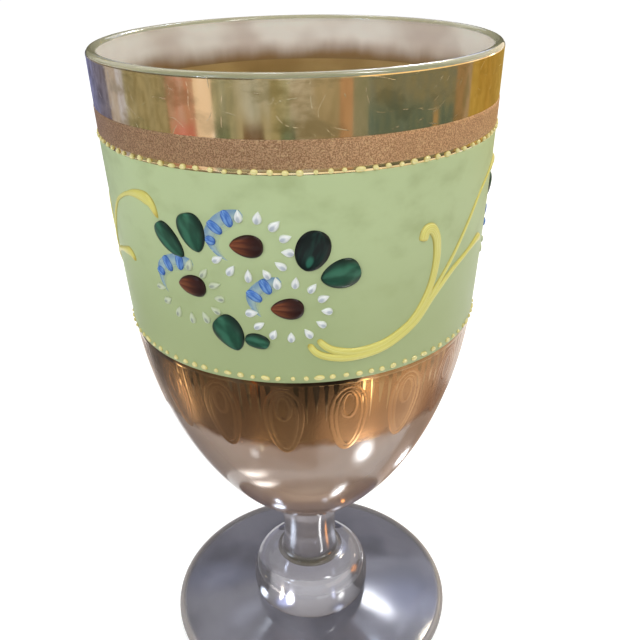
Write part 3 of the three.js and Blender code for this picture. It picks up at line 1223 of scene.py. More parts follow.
@dataclass(frozen=True)
class Touch:
    """A raised touch of enamel or gold along a line on a band.

    A closed one ends where it began, and a closed one that wraps goes round the bowl.
    """

    line: np.ndarray
    half_widths: np.ndarray
    height: float
    columns: int = 9
    seat: float = 0.04
    closed: bool = False
    wraps: bool = False
    end_sharpness: int = 4

    def lay(self, draft: MeshDraft, band: BandPlace, finish_number: int = 0) -> None:
        """Adds the touch to a mesh.

        Args:
            draft: The mesh.
            band: Where the touch lies.
            finish_number: Its finish in the mesh.
        """
        if self.closed and not self.wraps:
            ahead = np.roll(self.line, -1, 0) - np.roll(self.line, 1, 0)
        else:
            ahead = np.gradient(self.line, axis=0)
        ahead = ahead / np.linalg.norm(ahead, axis=1)[:, None]
        side = np.stack([-ahead[:, 1], ahead[:, 0]], 1)
        across = np.linspace(-1.0, 1.0, self.columns)
        along = np.linspace(-1.0, 1.0, len(self.line))[:, None]
        spread = self.line[:, None] + side[:, None] * (self.half_widths[:, None] * across)[:, :, None]
        crown = np.sqrt(np.clip(1 - across**2, 0.0, 1.0))
        fullness = np.sqrt(self.half_widths / self.half_widths.max())
        lift = self.height * fullness[:, None] * crown
        edge = np.maximum(np.abs(across), 0.0 if self.closed else along**self.end_sharpness)
        traces = np.stack(np.broadcast_arrays(along, across, edge), -1)
        under_each_side = ((0, 0), (1, 1), (0, 0))
        spread = np.pad(spread, under_each_side, mode="edge")
        traces = np.pad(traces, under_each_side, mode="edge")
        lift = np.pad(lift, under_each_side[:2], constant_values=-self.seat)
        sections = draft.add_points(band.at(spread[..., 0], spread[..., 1], lift), traces)
        draft.add_skin(sections, [finish_number] * sections.shape[1], self.closed)
        if not self.closed:
            for end in (sections[0], sections[-1, ::-1]):
                draft.add_face(tuple(end.tolist()), finish_number)


@dataclass(frozen=True)
class Drop:
    """A drop of enamel, round or pointed at its ends.

    Its turn is where its second end points to, in degrees from the band's right, and its bend is how
    far its middle is pushed to the left. A shape is given for each end: 0.5 is round and 1 is pointed.
    """

    place: Place | np.ndarray
    length: float
    width: float
    turn: float
    height: float
    shapes: Place = (0.5, 0.5)
    bend: float = 0.0
    rows: int = 17
    columns: int = 9
    tip_half_width: float = 0.004

    def lay(self, draft: MeshDraft, band: BandPlace, finish_number: int = 0) -> None:
        """Adds the drop to a mesh.

        Args:
            draft: The mesh.
            band: Where the drop lies.
            finish_number: Its finish in the mesh.
        """
        first, second = self.shapes
        along = -np.cos(np.linspace(0.0, np.pi, self.rows))
        fullest = (first - second) / (first + second)
        shape = (1 + along) ** first * (1 - along) ** second
        shape = shape / ((1 + fullest) ** first * (1 - fullest) ** second)
        angle = math.radians(self.turn)
        ahead = np.array([math.cos(angle), math.sin(angle)])
        left = np.array([-ahead[1], ahead[0]])
        aside = self.bend * (1 - along**2)
        line = np.asarray(self.place) + along[:, None] * ahead * self.length / 2 + aside[:, None] * left
        half_widths = np.maximum(shape * self.width / 2, self.tip_half_width)
        Touch(line, half_widths, self.height, self.columns).lay(draft, band, finish_number)


@dataclass(frozen=True)
class Glass:
    """The four gathers of clear glass, fused end to end: foot, knop, stem and bowl."""

    outline: BowlOutline
    foot_diameter: float = 69.0
    foot_edge_thickness: float = 3.0
    foot_edge_points: int = 17
    foot_ring_width: float = 6.0
    foot_hollow_depth: float = 1.2
    foot_slope_reach: float = 8.0
    foot_slope_shares: Place = (0.55, 0.45)
    foot_steps: int = 16
    knop_diameter: float = 29.0
    knop_undercut: float = 1.5
    knop_widest_height: float = 4.0
    knop_lower_steps: int = 14
    knop_upper_steps: int = 40
    stem_diameter: float = 13.4
    stem_waist_depth: float = 0.3
    stem_fillet: float = 1.4
    stem_flare: float = 1.2
    stem_steps: int = 10

    def build(self) -> None:
        """Builds and dresses the four pieces."""
        foot = self.foot_profile()
        self.turn("glass_foot", foot, [len(foot) - 2], FOOT_GLASS, "foot")
        knop = self.knop_profile()
        self.turn("glass_knop", knop, [0, len(knop) - 2], KNOP_GLASS, "knop")
        stem = self.stem_profile()
        self.turn("glass_stem", stem, [0, len(stem) - 2], STEM_GLASS, "stem")
        self.turn("glass_bowl", self.outline.profile(), [0], BOWL_GLASS, "bowl")

    @staticmethod
    def turn(name: str, profile: np.ndarray, joints: list[int], finish: Finish, node: str) -> None:
        """Turns a closed glass piece.

        Args:
            name: The piece's name.
            profile: (radius, height) points from axis to axis.
            joints: Numbers of the stretches that are fused to a neighbour.
            finish: The glass.
            node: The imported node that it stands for.
        """
        numbers = [int(k in joints) for k in range(len(profile) - 1)]
        draft = MeshDraft()
        draft.add_turned(profile, numbers)
        draft.piece(name, [finish, JOINT], node, Slot.GLASS)

    def knop_seat(self) -> float:
        """Radius of the joint between the foot and the knop."""
        return self.knop_diameter / 2 - self.knop_undercut

    def knop_crown(self) -> np.ndarray:
        """The knop's upper side, from its widest ring in to the stem's fillet.

        Returns:
            (radius, height) points.
        """
        low, high = height_span("knop")
        widest = self.knop_diameter / 2
        rod = self.stem_diameter / 2
        ring = (widest, low + self.knop_widest_height)
        crown = bezier(ring, (widest, high), (rod, high), steps=self.knop_upper_steps)
        return crown[crown[:, 0] > rod + self.stem_fillet]

    def foot_profile(self) -> np.ndarray:
        """A round plate with a rounded edge, hollowed a little underneath.

        Returns:
            (radius, height) points from axis to axis.
        """
        top = height_span("foot")[1]
        edge = self.foot_edge_thickness / 2
        outer = self.foot_diameter / 2 - edge
        inner = outer - self.foot_ring_width
        depth = self.foot_hollow_depth
        hollow = bezier((0.0, depth), (inner / 2, depth), (inner, 0.0), steps=self.foot_steps)
        turn = np.linspace(-np.pi / 2, np.pi / 2, self.foot_edge_points)
        rounded = np.stack([outer + edge * np.cos(turn), edge + edge * np.sin(turn)], 1)
        seat = self.knop_seat()
        top_share, edge_share = self.foot_slope_shares
        middle = (seat + self.foot_slope_reach, top_share * top + edge_share * self.foot_edge_thickness)
        slope = bezier((outer, self.foot_edge_thickness), middle, (seat, top), steps=self.foot_steps)
        return np.vstack([hollow, rounded, slope[1:], [[0.0, top]]])

    def knop_profile(self) -> np.ndarray:
        """A cushion of glass, drawn in where it meets the foot.

        Returns:
            (radius, height) points from axis to axis.
        """
        low = height_span("knop")[0]
        widest = self.knop_diameter / 2
        ring = (widest, low + self.knop_widest_height)
        lower = bezier((self.knop_seat(), low), (widest, low), ring, steps=self.knop_lower_steps)
        crown = self.knop_crown()
        return np.vstack([[[0.0, low]], lower, crown[1:], [[0.0, crown[-1, 1]]]])

    def stem_profile(self) -> np.ndarray:
        """A short rod, a little slimmer at its middle, that spreads where it meets the knop.

        Returns:
            (radius, height) points from axis to axis.
        """
        low, high = height_span("stem")
        rod = self.stem_diameter / 2
        seat = self.knop_crown()[-1]
        above_flare = (rod, low + self.stem_flare * self.stem_fillet)
        flare = bezier(tuple(seat), (rod, low), above_flare, steps=self.stem_steps)
        middle = (rod - self.stem_waist_depth, (low + high) / 2)
        neck = (self.outline.neck_diameter / 2, high)
        waist = smooth_line([above_flare, middle, neck], self.stem_steps)
        return np.vstack([[[0.0, seat[1]]], flare, waist[1:], [[0.0, high]]])


@dataclass(frozen=True)
class Coat:
    """A thin film round the bowl between two heights, which may go on round the lip."""

    outline: BowlOutline
    name: str
    node: str
    front: Finish
    back: Finish
    slot: Slot
    thickness: float = 0.06
    feather: float = 0.25
    feather_start: float = 0.1
    sunk: float = 0.02
    row_height: float = 0.8
    lip_turn: float = 0.0
    lip_end: float = 0.3

    def build(self) -> None:
        """Builds the film and dresses its front and its back."""
        low, high = height_span(self.node)
        rows = np.linspace(low, high, 2 + int((high - low) / self.row_height))
        heights = np.sort(np.concatenate([rows, [low + self.feather, high - self.feather]]))
        to_top = np.full(len(heights), self.feather) if self.lip_turn > 0 else high - heights
        edge = np.minimum(heights - low, to_top) / self.feather
        swell = np.sqrt(np.clip(self.feather_start + (1 - self.feather_start) * edge, 0.0, 1.0))
        radius = self.outline.radius(heights)
        front = np.stack([radius + self.thickness * swell, heights], 1)
        back = np.stack([radius - self.sunk, heights], 1)
        if self.lip_turn > 0:
            thinning = np.append(np.ones(self.outline.lip_points - 1), self.lip_end)
            front = np.vstack([front, self.outline.lip(self.lip_turn, self.thickness * thinning)])
            back = np.vstack([back, self.outline.lip(self.lip_turn, -self.sunk)])
        draft = MeshDraft()
        draft.add_turned(np.vstack([front, back[::-1]]), [0] * len(front) + [1] * len(back))
        draft.piece(self.name, [self.front, self.back], self.node, self.slot)


class Gilt(Enum):
    """Numbers of the frieze's finishes."""

    GROUND = 0
    BACK = 1
    RIDGE = 2
    FLUTE = 3


@dataclass(frozen=True)
class EtchedFrieze:
    """Satin gold round the belly, with hanging lobes in relief and mirror flutes between them.

    An outline of a lobe is a share of its width and a share of its ridge. A flute is a length and a
    width. A wave of the hem is a count round the bowl, a start and a height.
    """

    outline: BowlOutline
    node: str = "lower_gilt_band"
    lobes: int = 18
    first_lobe: float = 13.0
    lobe_drop: float = 1.6
    lobe_width: float = 6.6
    lobe_height: float = 15.6
    lobe_narrowing: float = 0.22
    lobe_points: int = 56
    outlines: tuple[Place, ...] = ((1.0, 1.0), (0.72, 0.8))
    outline_stretch: float = 0.4
    ridge_width: float = 0.85
    ridge_height: float = 0.032
    ridge_columns: int = 5
    eye_width: float = 2.6
    eye_height: float = 5.6
    eye_rise: float = 0.22
    hem: float = 0.9
    hem_rise: float = 0.35
    hem_waves: tuple[Point, ...] = ((7.0, 1.0, 0.15), (11.0, 0.0, 0.12))
    flutes: tuple[Place, ...] = ((7.8, 1.1), (9.5, 0.7), (6.6, 1.4), (8.8, 0.9), (5.2, 1.2))
    flute_pitch: float = 1.75
    flute_drop: float = 0.3
    flute_taper: float = 0.15
    flute_points: int = 14
    flute_rise: float = 0.012
    border_width: float = 0.95
    border_rise: float = 0.03
    border_points: int = 240
    thickness: float = 0.06
    edge_start: float = 0.1
    edge_gain: float = 12.0
    sunk: float = 0.02
    steps: int = 720
    rows: int = 26

    def build(self) -> None:
        """Builds the film, its lobes, its flutes and its border as one piece."""
        low, high = height_span(self.node)
        half = (high - low) / 2
        band = BandPlace(self.outline, (low + high) / 2, self.thickness)
        draft = MeshDraft()
        self.add_film(draft, low, high)
        around = 2 * math.pi * band.scale()
        first = math.radians(self.first_lobe) * band.scale()
        for number in range(self.lobes):
            self.add_lobe(draft, band, first + number * around / self.lobes, half)
            self.add_flutes(draft, band, first + (number + 0.5) * around / self.lobes, half)
        u = np.linspace(0.0, around, self.border_points, endpoint=False)
        border = np.stack([u, np.full(self.border_points, half - self.border_width / 2)], 1)
        half_widths = np.full(self.border_points, self.border_width / 2)
        touch = Touch(border, half_widths, self.border_rise, self.ridge_columns, closed=True, wraps=True)
        touch.lay(draft, band, Gilt.FLUTE.value)
        finishes = [ETCHED_GOLD, ETCHED_GOLD_BACK, RIDGE_GOLD, FLUTE_GOLD]
        draft.piece("etched_gold", finishes, self.node, Slot.GILDING)

    def add_film(self, draft: MeshDraft, low: float, high: float) -> None:
        """Adds the gold film, whose lower edge hangs a little lower at each lobe.

        Args:
            draft: The mesh.
            low: The film's lowest height.
            high: Its upper edge.
        """
        azimuth = 2 * np.pi * np.arange(self.steps) / self.steps
        swing = np.cos(self.lobes * (azimuth - math.radians(self.first_lobe)))
        hem = low + self.hem_rise + self.hem * (0.5 - 0.5 * swing)
        for count, start, height in self.hem_waves:
            hem = hem + height * np.sin(count * azimuth + start)
        share = np.linspace(0.0, 1.0, self.rows)
        heights = hem[:, None] + share * (high - hem)[:, None]
        radius = self.outline.radius(heights)
        edge = self.edge_start + self.edge_gain * np.minimum(share, 1 - share)
        front = radius + self.thickness * np.sqrt(np.clip(edge, 0.0, 1.0))
        back = radius - self.sunk
        reach = np.hstack([front, back[:, ::-1]])
        rise = np.hstack([heights, heights[:, ::-1]])
        above_hem = rise - hem[:, None]
        traces = np.stack([np.zeros_like(rise), np.zeros_like(rise), above_hem], -1)
        sections = draft.add_points(around_axis(reach, azimuth[:, None], rise), traces)
        ground, behind = Gilt.GROUND.value, Gilt.BACK.value
        draft.add_skin(sections, [ground] * self.rows + [behind] * (self.rows - 1) + [ground], joined=True)

    def add_lobe(self, draft: MeshDraft, band: BandPlace, middle: float, half: float) -> None:
        """Adds a lobe: two outlines, one in the other, round an upright oval.

        Args:
            draft: The mesh.
            band: The frieze's band.
            middle: The lobe's place along the band.
            half: Half the band's height.
        """
        around = np.linspace(0.0, 2 * np.pi, self.lobe_points, endpoint=False)
        centre = half - self.lobe_drop - self.lobe_height / 2
        rings = []
        for scale, ridge in self.outlines:
            reach = scale * self.lobe_width / 2 * (1 + self.lobe_narrowing * np.cos(around))
            rings.append((reach, scale**self.outline_stretch * self.lobe_height / 2, centre, ridge))
        eye_centre = centre + self.eye_rise * self.lobe_height
        rings.append((self.eye_width / 2, self.eye_height / 2, eye_centre, 1.0))
        for reach, rise, height, ridge in rings:
            line = np.stack([middle + reach * np.sin(around), height + rise * np.cos(around)], 1)
            half_widths = np.full(self.lobe_points, ridge * self.ridge_width / 2)
            touch = Touch(line, half_widths, ridge * self.ridge_height, self.ridge_columns, closed=True)
            touch.lay(draft, band, Gilt.RIDGE.value)

    def add_flutes(self, draft: MeshDraft, band: BandPlace, middle: float, half: float) -> None:
        """Adds tapered strips of mirror gold that hang from the top edge between two lobes.

        Args:
            draft: The mesh.
            band: The frieze's band.
            middle: The strips' place along the band.
            half: Half the band's height.
        """
        top = half - self.flute_drop
        for number, (length, width) in enumerate(self.flutes):
            u = middle + self.flute_pitch * (number - (len(self.flutes) - 1) / 2)
            v = np.linspace(top, top - length, self.flute_points)
            half_widths = width / 2 * np.linspace(1.0, self.flute_taper, self.flute_points)
            line = np.stack([np.full(self.flute_points, u), v], 1)
            touch = Touch(line, half_widths, self.flute_rise, self.ridge_columns)
            touch.lay(draft, band, Gilt.FLUTE.value)


@dataclass(frozen=True)
class BeadRow:
    """A row of small yellow enamel beads, dropped by hand, so no two are alike."""

    outline: BowlOutline
    name: str
    node: str
    coat: float
    pitch: float = 2.36
    diameter: float = 1.0
    height: float = 0.4
    stray: Place = (0.22, 0.1)
    sizes: Place = (0.8, 1.15)
    lengths: Place = (0.9, 1.2)
    long_length: float = 1.7
    long_chance: float = 0.12
    tilt: float = 25.0
    rows: int = 9
    columns: int = 7

    def build(self) -> None:
        """Builds the row as one piece."""
        low, high = height_span(self.node)
        band = BandPlace(self.outline, (low + high) / 2, self.coat)
        around = 2 * math.pi * band.scale()
        count = round(around / self.pitch)
        chance = random.Random(f"{JITTER_SEED} {self.name}")
        draft = MeshDraft()
        for number in range(count):
            u = around * number / count + chance.uniform(-self.stray[0], self.stray[0])
            v = chance.uniform(-self.stray[1], self.stray[1])
            size = self.diameter * chance.uniform(*self.sizes)
            drawn = self.long_length if chance.random() < self.long_chance else chance.uniform(*self.lengths)
            tilt = chance.uniform(-self.tilt, self.tilt)
            bead = Drop((u, v), drawn * size, size, tilt, self.height, rows=self.rows, columns=self.columns)
            bead.lay(draft, band)
        draft.piece(self.name, [BEAD_YELLOW], self.node, Slot.YELLOW)


@dataclass(frozen=True)
class Leaf(Drop):
    """A raised leaf, round at its stalk and pointed where its turn says."""

    height: float = 0.65
    shapes: Place = (0.36, 0.6)
    rows: int = 29
    columns: int = 15
    finish: Finish = LEAF_GREEN

    def build(self, band: BandPlace, name: str, node: str) -> None:
        """Builds the leaf.

        Args:
            band: Where it lies.
            name: The piece's name.
            node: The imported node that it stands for.
        """
        draft = MeshDraft()
        self.lay(draft, band)
        draft.piece(name, [self.finish], node, Slot.LEAF)


@dataclass(frozen=True)
class Daisy:
    """A daisy: a brown eye in an oval of petals, the last few of them blue on a pale wash."""

    place: Place
    eye: Place
    first_angle: float
    blue_petals: int
    petal_finish: Finish = PETAL_WHITE
    width: float = 12.8
    height: float = 10.5
    petals: int = 13
    petal_length: float = 2.15
    petal_width: float = 1.5
    petal_rise: float = 0.4
    petal_shapes: Place = (0.5, 1.0)
    petal_lengths: Place = (0.9, 1.12)
    petal_widths: Place = (0.9, 1.1)
    petal_sway: float = 8.0
    petal_level: float = -0.05
    blue_length: float = 3.0
    blue_width: float = 1.8
    blue_shapes: Place = (0.4, 0.45)
    blue_shift: float = -9.0
    blue_turn: float = 174.0
    blue_rows: int = 19
    many_blues: int = 3
    wash_lead: float = 7.0
    wash_tail: float = 40.0
    wash_reach: Place = (0.98, 0.78)
    wash_turn_in: float = 0.55
    wash_shares: tuple[float, ...] = (0.0, 0.03, 0.2, 0.55, 0.75, 1.0)
    wash_half_widths: tuple[float, ...] = (0.3, 1.1, 1.6, 1.5, 0.8, 0.0)
    wash_tip: float = 0.01
    wash_rise: float = 0.06
    wash_points: int = 33
    eye_length: float = 5.6
    eye_width: float = 4.1
    eye_turn: float = 180.0
    eye_rise: float = 0.7
    eye_shapes: Place = (0.42, 0.66)
    eye_rows: int = 27
    eye_columns: int = 15

    def on_oval(self, angle: np.ndarray | float, reach: np.ndarray | float = 1.0) -> np.ndarray:
        """Places on the oval, or further in.

        Args:
            angle: Degrees from the oval's right.
            reach: How far out they are, as a share of the oval's own reach.

        Returns:
            The places, with u and v last.
        """
        turn = np.radians(angle)
        u = self.place[0] + reach * self.width / 2 * np.cos(turn)
        return np.stack([u, self.place[1] + reach * self.height / 2 * np.sin(turn)], -1)

    def angle_of(self, number: int) -> float:
        """The angle of a petal, counted clockwise from the first."""
        return self.first_angle - 360 * number / self.petals

    def build(self, band: BandPlace, name: str, node: str) -> None:
        """Builds the eye, the white petals and the blue petals.

        Args:
            band: Where they lie.
            name: Start of the pieces' names.
            node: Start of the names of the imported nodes.
        """
        chance = random.Random(f"{JITTER_SEED} {node}")
        size = (self.eye_length, self.eye_width, self.eye_turn, self.eye_rise, self.eye_shapes)
        eye = MeshDraft()
        Drop(self.eye, *size, rows=self.eye_rows, columns=self.eye_columns).lay(eye, band)
        eye.piece(f"{name}_eye", [EYE_BROWN], f"{node}_centre", Slot.BROWN)
        whites = self.petals - self.blue_petals
        white = MeshDraft()
        for number in range(whites):
            self.petal(self.angle_of(number), chance).lay(white, band)
        white.piece(f"{name}_white", [self.petal_finish], f"{node}_white_petals", Slot.WHITE)
        finishes = [PETAL_BLUE, BLUE_WASH]
        blue = MeshDraft()
        self.wash().lay(blue, band, finishes.index(BLUE_WASH))
        for number in range(whites, self.petals):
            angle = self.angle_of(number) + self.blue_shift
            small = number == whites and self.blue_petals >= self.many_blues
            length = self.blue_width if small else self.blue_length
            size = (length, self.blue_width, angle + self.blue_turn, self.petal_rise, self.blue_shapes)
            Drop(self.on_oval(angle), *size, rows=self.blue_rows).lay(blue, band)
        blue.piece(f"{name}_blue", finishes, f"{node}_blue_petals", Slot.BLUE)

    def petal(self, angle: float, chance: random.Random) -> Drop:
        """A teardrop along the oval's spoke, whose tail is on its upper side.

        Args:
            angle: Where it is on the oval, in degrees.
            chance: Where its small differences come from.

        Returns:
            The petal.
        """
        upper = math.sin(math.radians(angle)) > self.petal_level
        length = self.petal_length * chance.uniform(*self.petal_lengths)
        width = self.petal_width * chance.uniform(*self.petal_widths)
        turn = (angle if upper else angle + 180) + chance.uniform(-self.petal_sway, self.petal_sway)
        return Drop(self.on_oval(angle), length, width, turn, self.petal_rise, self.petal_shapes)

    def wash(self) -> Touch:
        """The pale wash under the blue petals, drawn in towards the eye at its lower end.

        Returns:
            The wash as a low touch.
        """
        share = np.linspace(0.0, 1.0, self.wash_points)
        sweep = self.wash_lead + 360 * self.blue_petals / self.petals + self.wash_tail
        reach = np.interp(share, (self.wash_turn_in, 1.0), self.wash_reach)
        line = self.on_oval(self.first_angle - self.wash_lead + sweep * share, reach)
        half_widths = np.interp(share, self.wash_shares, self.wash_half_widths)
        return Touch(line, np.maximum(half_widths, self.wash_tip), self.wash_rise)


@dataclass(frozen=True)
class Stroke:
    """A brush stroke through places on a band, with widths evenly spread along it."""

    widths: tuple[float, ...]
    places: tuple[Place, ...]


@dataclass(frozen=True)
class Scroll:
    """A yellow scroll: a double stroke that parts into a curl and two long fingers."""

    short_finger: Stroke = Stroke(
        (1.3, 1.4, 1.6, 1.7, 1.7, 1.4, 1.1, 1.0, 1.9, 1.0),
        (
            (0.7, -10.9), (2.1, -12.8), (4.7, -13.9), (9.0, -14.3), (15.0, -13.3), (20.9, -10.2),
            (24.8, -6.3), (29.4, -2.9), (33.2, -1.3), (37.0, -0.2), (40.2, 0.3), (42.0, -0.8),
        ),
    )
    long_finger: Stroke = Stroke(
        (1.3, 1.4, 1.7, 1.7, 1.4, 1.1, 0.9, 0.7, 0.8, 2.5, 0.9),
        (
            (2.3, -10.1), (3.8, -11.7), (5.9, -12.8), (9.3, -13.4), (14.6, -12.6), (20.3, -9.6),
            (24.1, -6.0), (29.0, -0.6), (36.3, 8.0), (40.2, 11.0), (45.2, 12.8), (49.6, 12.5),
            (51.5, 9.7),
        ),
    )
    curl: Stroke = Stroke(
        (0.7, 1.6, 1.9, 2.0, 2.2),
        (
            (14.4, -12.9), (20.2, -9.4), (23.6, -4.8), (24.9, 0.2), (24.6, 4.6), (23.3, 7.0),
            (21.8, 7.1), (21.3, 5.2),
        ),
    )
    height: float = 0.45
    steps: int = 8
    columns: int = 11
    end_sharpness: int = 30
    tip_half_width: float = 0.01

    def build(self, band: BandPlace, name: str, node: str) -> None:
        """Builds the scroll.

        Args:
            band: Where it lies.
            name: The piece's name.
            node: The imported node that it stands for.
        """
        draft = MeshDraft()
        for stroke in (self.short_finger, self.long_finger, self.curl):
            line = smooth_line(list(stroke.places), self.steps)
            along = np.linspace(-1.0, 1.0, len(line))
            width = np.interp(along, np.linspace(-1.0, 1.0, len(stroke.widths)), stroke.widths)
            ends = np.sqrt(np.clip(1 - np.abs(along) ** self.end_sharpness, 0.0, 1.0))
            half_widths = np.maximum(width / 2 * ends, self.tip_half_width)
            Touch(line, half_widths, self.height, self.columns).lay(draft, band)
        draft.piece(name, [SCROLL_YELLOW], node, Slot.YELLOW)


@dataclass(frozen=True)
class Spray:
    """A spray of daisies, leaves and a scroll on the enamel band."""

    leaves: tuple[Leaf, ...] = (
        Leaf((-23.2, 6.4), 7.3, 4.2, -44, bend=-0.2),
        Leaf((-18.4, 8.5), 6.9, 5.3, -72),
        Leaf((1.7, 6.5), 7.2, 5.7, -108, shapes=(0.44, 0.5), finish=LEAF_DARK),
        Leaf((6.2, 2.2), 6.7, 5.4, 192, shapes=(0.38, 0.6), bend=0.2),
        Leaf((-13.6, -9.8), 6.9, 5.8, -60, shapes=(0.34, 0.6), bend=0.4),
        Leaf((-8.3, -10.8), 4.3, 3.0, 168, shapes=(0.36, 0.4), bend=-0.3),
    )
    daisies: tuple[Daisy, ...] = (
        Daisy((-8.6, 7.2), (-8.9, 7.2), 101, 3),
        Daisy((-20.9, -2.6), (-19.7, -1.4), 79, 3, PETAL_THIN),
        Daisy((-2.5, -4.2), (-2.7, -4.0), 106, 2),
    )
    scroll: Scroll = Scroll()

    def build(self, band: BandPlace, number: int) -> None:
        """Builds the spray's pieces.

        Args:
            band: The enamel band, turned to this spray.
            number: The spray's number, from 1.
        """
        for i, leaf in enumerate(self.leaves, 1):
            leaf.build(band, f"painted_leaf_{number}_{i}", f"spray_{number}_leaf_{i}")
        for i, daisy in enumerate(self.daisies, 1):
            daisy.build(band, f"painted_daisy_{number}_{i}", f"spray_{number}_daisy_{i}")
        self.scroll.build(band, f"painted_scroll_{number}", f"spray_{number}_scroll")


@dataclass(frozen=True)
class Goblet:
    """The whole goblet."""

    outline: BowlOutline
    sand_coat: float = 0.16
    sage_coat: float = 0.14
    gold_coat: float = 0.06
    rim_feather: float = 0.02
    rim_lip_turn: float = 14.0
    sprays: int = 3

    def build(self) -> None:
        """Builds the glass, then the bands, then what is raised on them."""
        Glass(self.outline).build()
        for coat in self.coats():
            coat.build()
        EtchedFrieze(self.outline).build()
        BeadRow(self.outline, "upper_beads", "upper_bead_row", self.gold_coat).build()
        BeadRow(self.outline, "lower_beads", "lower_bead_row", self.sage_coat).build()
        low, high = height_span("green_enamel_band")
        for number in range(self.sprays):
            turn = 2 * math.pi * number / self.sprays
            band = BandPlace(self.outline, (low + high) / 2, self.sage_coat, turn)
            Spray().build(band, number + 1)

    def coats(self) -> list[Coat]:
        """The plain films round the bowl, from the lip downwards.

        Returns:
            The films.
        """
        rim = ("rim_gold", "rim_gilding", RIM_GOLD, RIM_GOLD_BACK, Slot.GILDING)
        sand = ("sand_gold", "sand_gilt_band", SAND_GOLD, SAND_GOLD_BACK, Slot.SAND_GILDING)
        line = ("gold_line", "upper_gilt_line", RIM_GOLD, SAND_GOLD_BACK, Slot.GILDING)
        sage = ("sage_band", "green_enamel_band", SAGE, SAGE_BACK, Slot.SAGE)
        return [
            Coat(self.outline, *rim, self.gold_coat, self.rim_feather, lip_turn=self.rim_lip_turn),
            Coat(self.outline, *sand, self.sand_coat),
            Coat(self.outline, *line, self.gold_coat),
            Coat(self.outline, *sage, self.sage_coat),
        ]


@dataclass(frozen=True)
class Card:
    """A studio card, bent round the goblet or laid on the floor, that only polished surfaces mirror.

    Its low and high edges are a distance from the axis and a height.
    """

    tone: str
    first_azimuth: float
    last_azimuth: float
    low: Place = (330.0, 0.0)
    high: Place = (330.0, 110.0)
    strength: float = 1.0
    dapple: str = ""
    steps: int = 12

    def mesh(self, name: str) -> bpy.types.Mesh:
        """The card's mesh.

        Args:
            name: Its name.

        Returns:
            The mesh.
        """
        azimuths = np.radians(np.linspace(self.first_azimuth, self.last_azimuth, self.steps + 1))
        edges = [around_axis(distance, azimuths, height) for distance, height in (self.low, self.high)]
        faces = [(k, k + 1, self.steps + k + 2, self.steps + k + 1) for k in range(self.steps)]
        mesh = bpy.data.meshes.new(name)
        mesh.from_pydata((np.vstack(edges) * MM).tolist(), [], faces)
        finish = CardFinish(name, self.tone, self.strength, self.dapple or self.tone)
        mesh.materials.append(finish.material())
        return mesh


@dataclass(frozen=True)
class Glint:
    """A soft spot of light that only polished surfaces mirror.

    A turned one faces the goblet and shows through clear glass too. Any other faces up by its tilt, and
    the rest of the way from its heading towards the axis.
    """

    place: Point
    reach: Place
    strength: float
    tone: str = "#ffffff"
    turned: bool = False
    heading: float = 180.0
    tilt: float = 90.0
    steps: int = 32

    def mesh(self, name: str, aim: Point) -> bpy.types.Mesh:
        """The spot's mesh.

        Args:
            name: Its name.
            aim: What a turned spot faces.

        Returns:
            The mesh.
        """
        middle = np.array(self.place)
        heading = math.radians(self.heading)
        tilt = math.radians(self.tilt)
        if self.turned:
            facing = np.array(aim) - middle
            facing = facing / np.linalg.norm(facing)
            right = np.cross([0.0, 0.0, 1.0], facing)
            right = right / np.linalg.norm(right)
        else:
            inward = np.array([-math.sin(heading), math.cos(heading), 0.0])
            facing = math.cos(tilt) * inward + np.array([0.0, 0.0, math.sin(tilt)])
            right = np.array([-math.cos(heading), -math.sin(heading), 0.0])
        turns = (2 * np.pi * np.arange(self.steps) / self.steps)[:, None]
        wide, tall = self.reach
        rim = middle + wide * np.cos(turns) * right + tall * np.sin(turns) * np.cross(facing, right)
        faces = [(0, k + 1, (k + 1) % self.steps + 1) for k in range(self.steps)]
        mesh = bpy.data.meshes.new(name)
        mesh.from_pydata((np.vstack([middle[None], rim]) * MM).tolist(), [], faces)
        layer = mesh.attributes.new(Trace.EDGE.value, "FLOAT", "POINT")
        layer.data.foreach_set("value", [0.0] + [1.0] * self.steps)
        mesh.materials.append(GlintFinish(name, self.tone, self.strength).material())
        return mesh


@dataclass(frozen=True)
class Lamp:
    """A soft studio lamp, aimed at the goblet."""

    name: str
    place: Point
    size: Place
    power: float
    tone: str = "#ffffff"


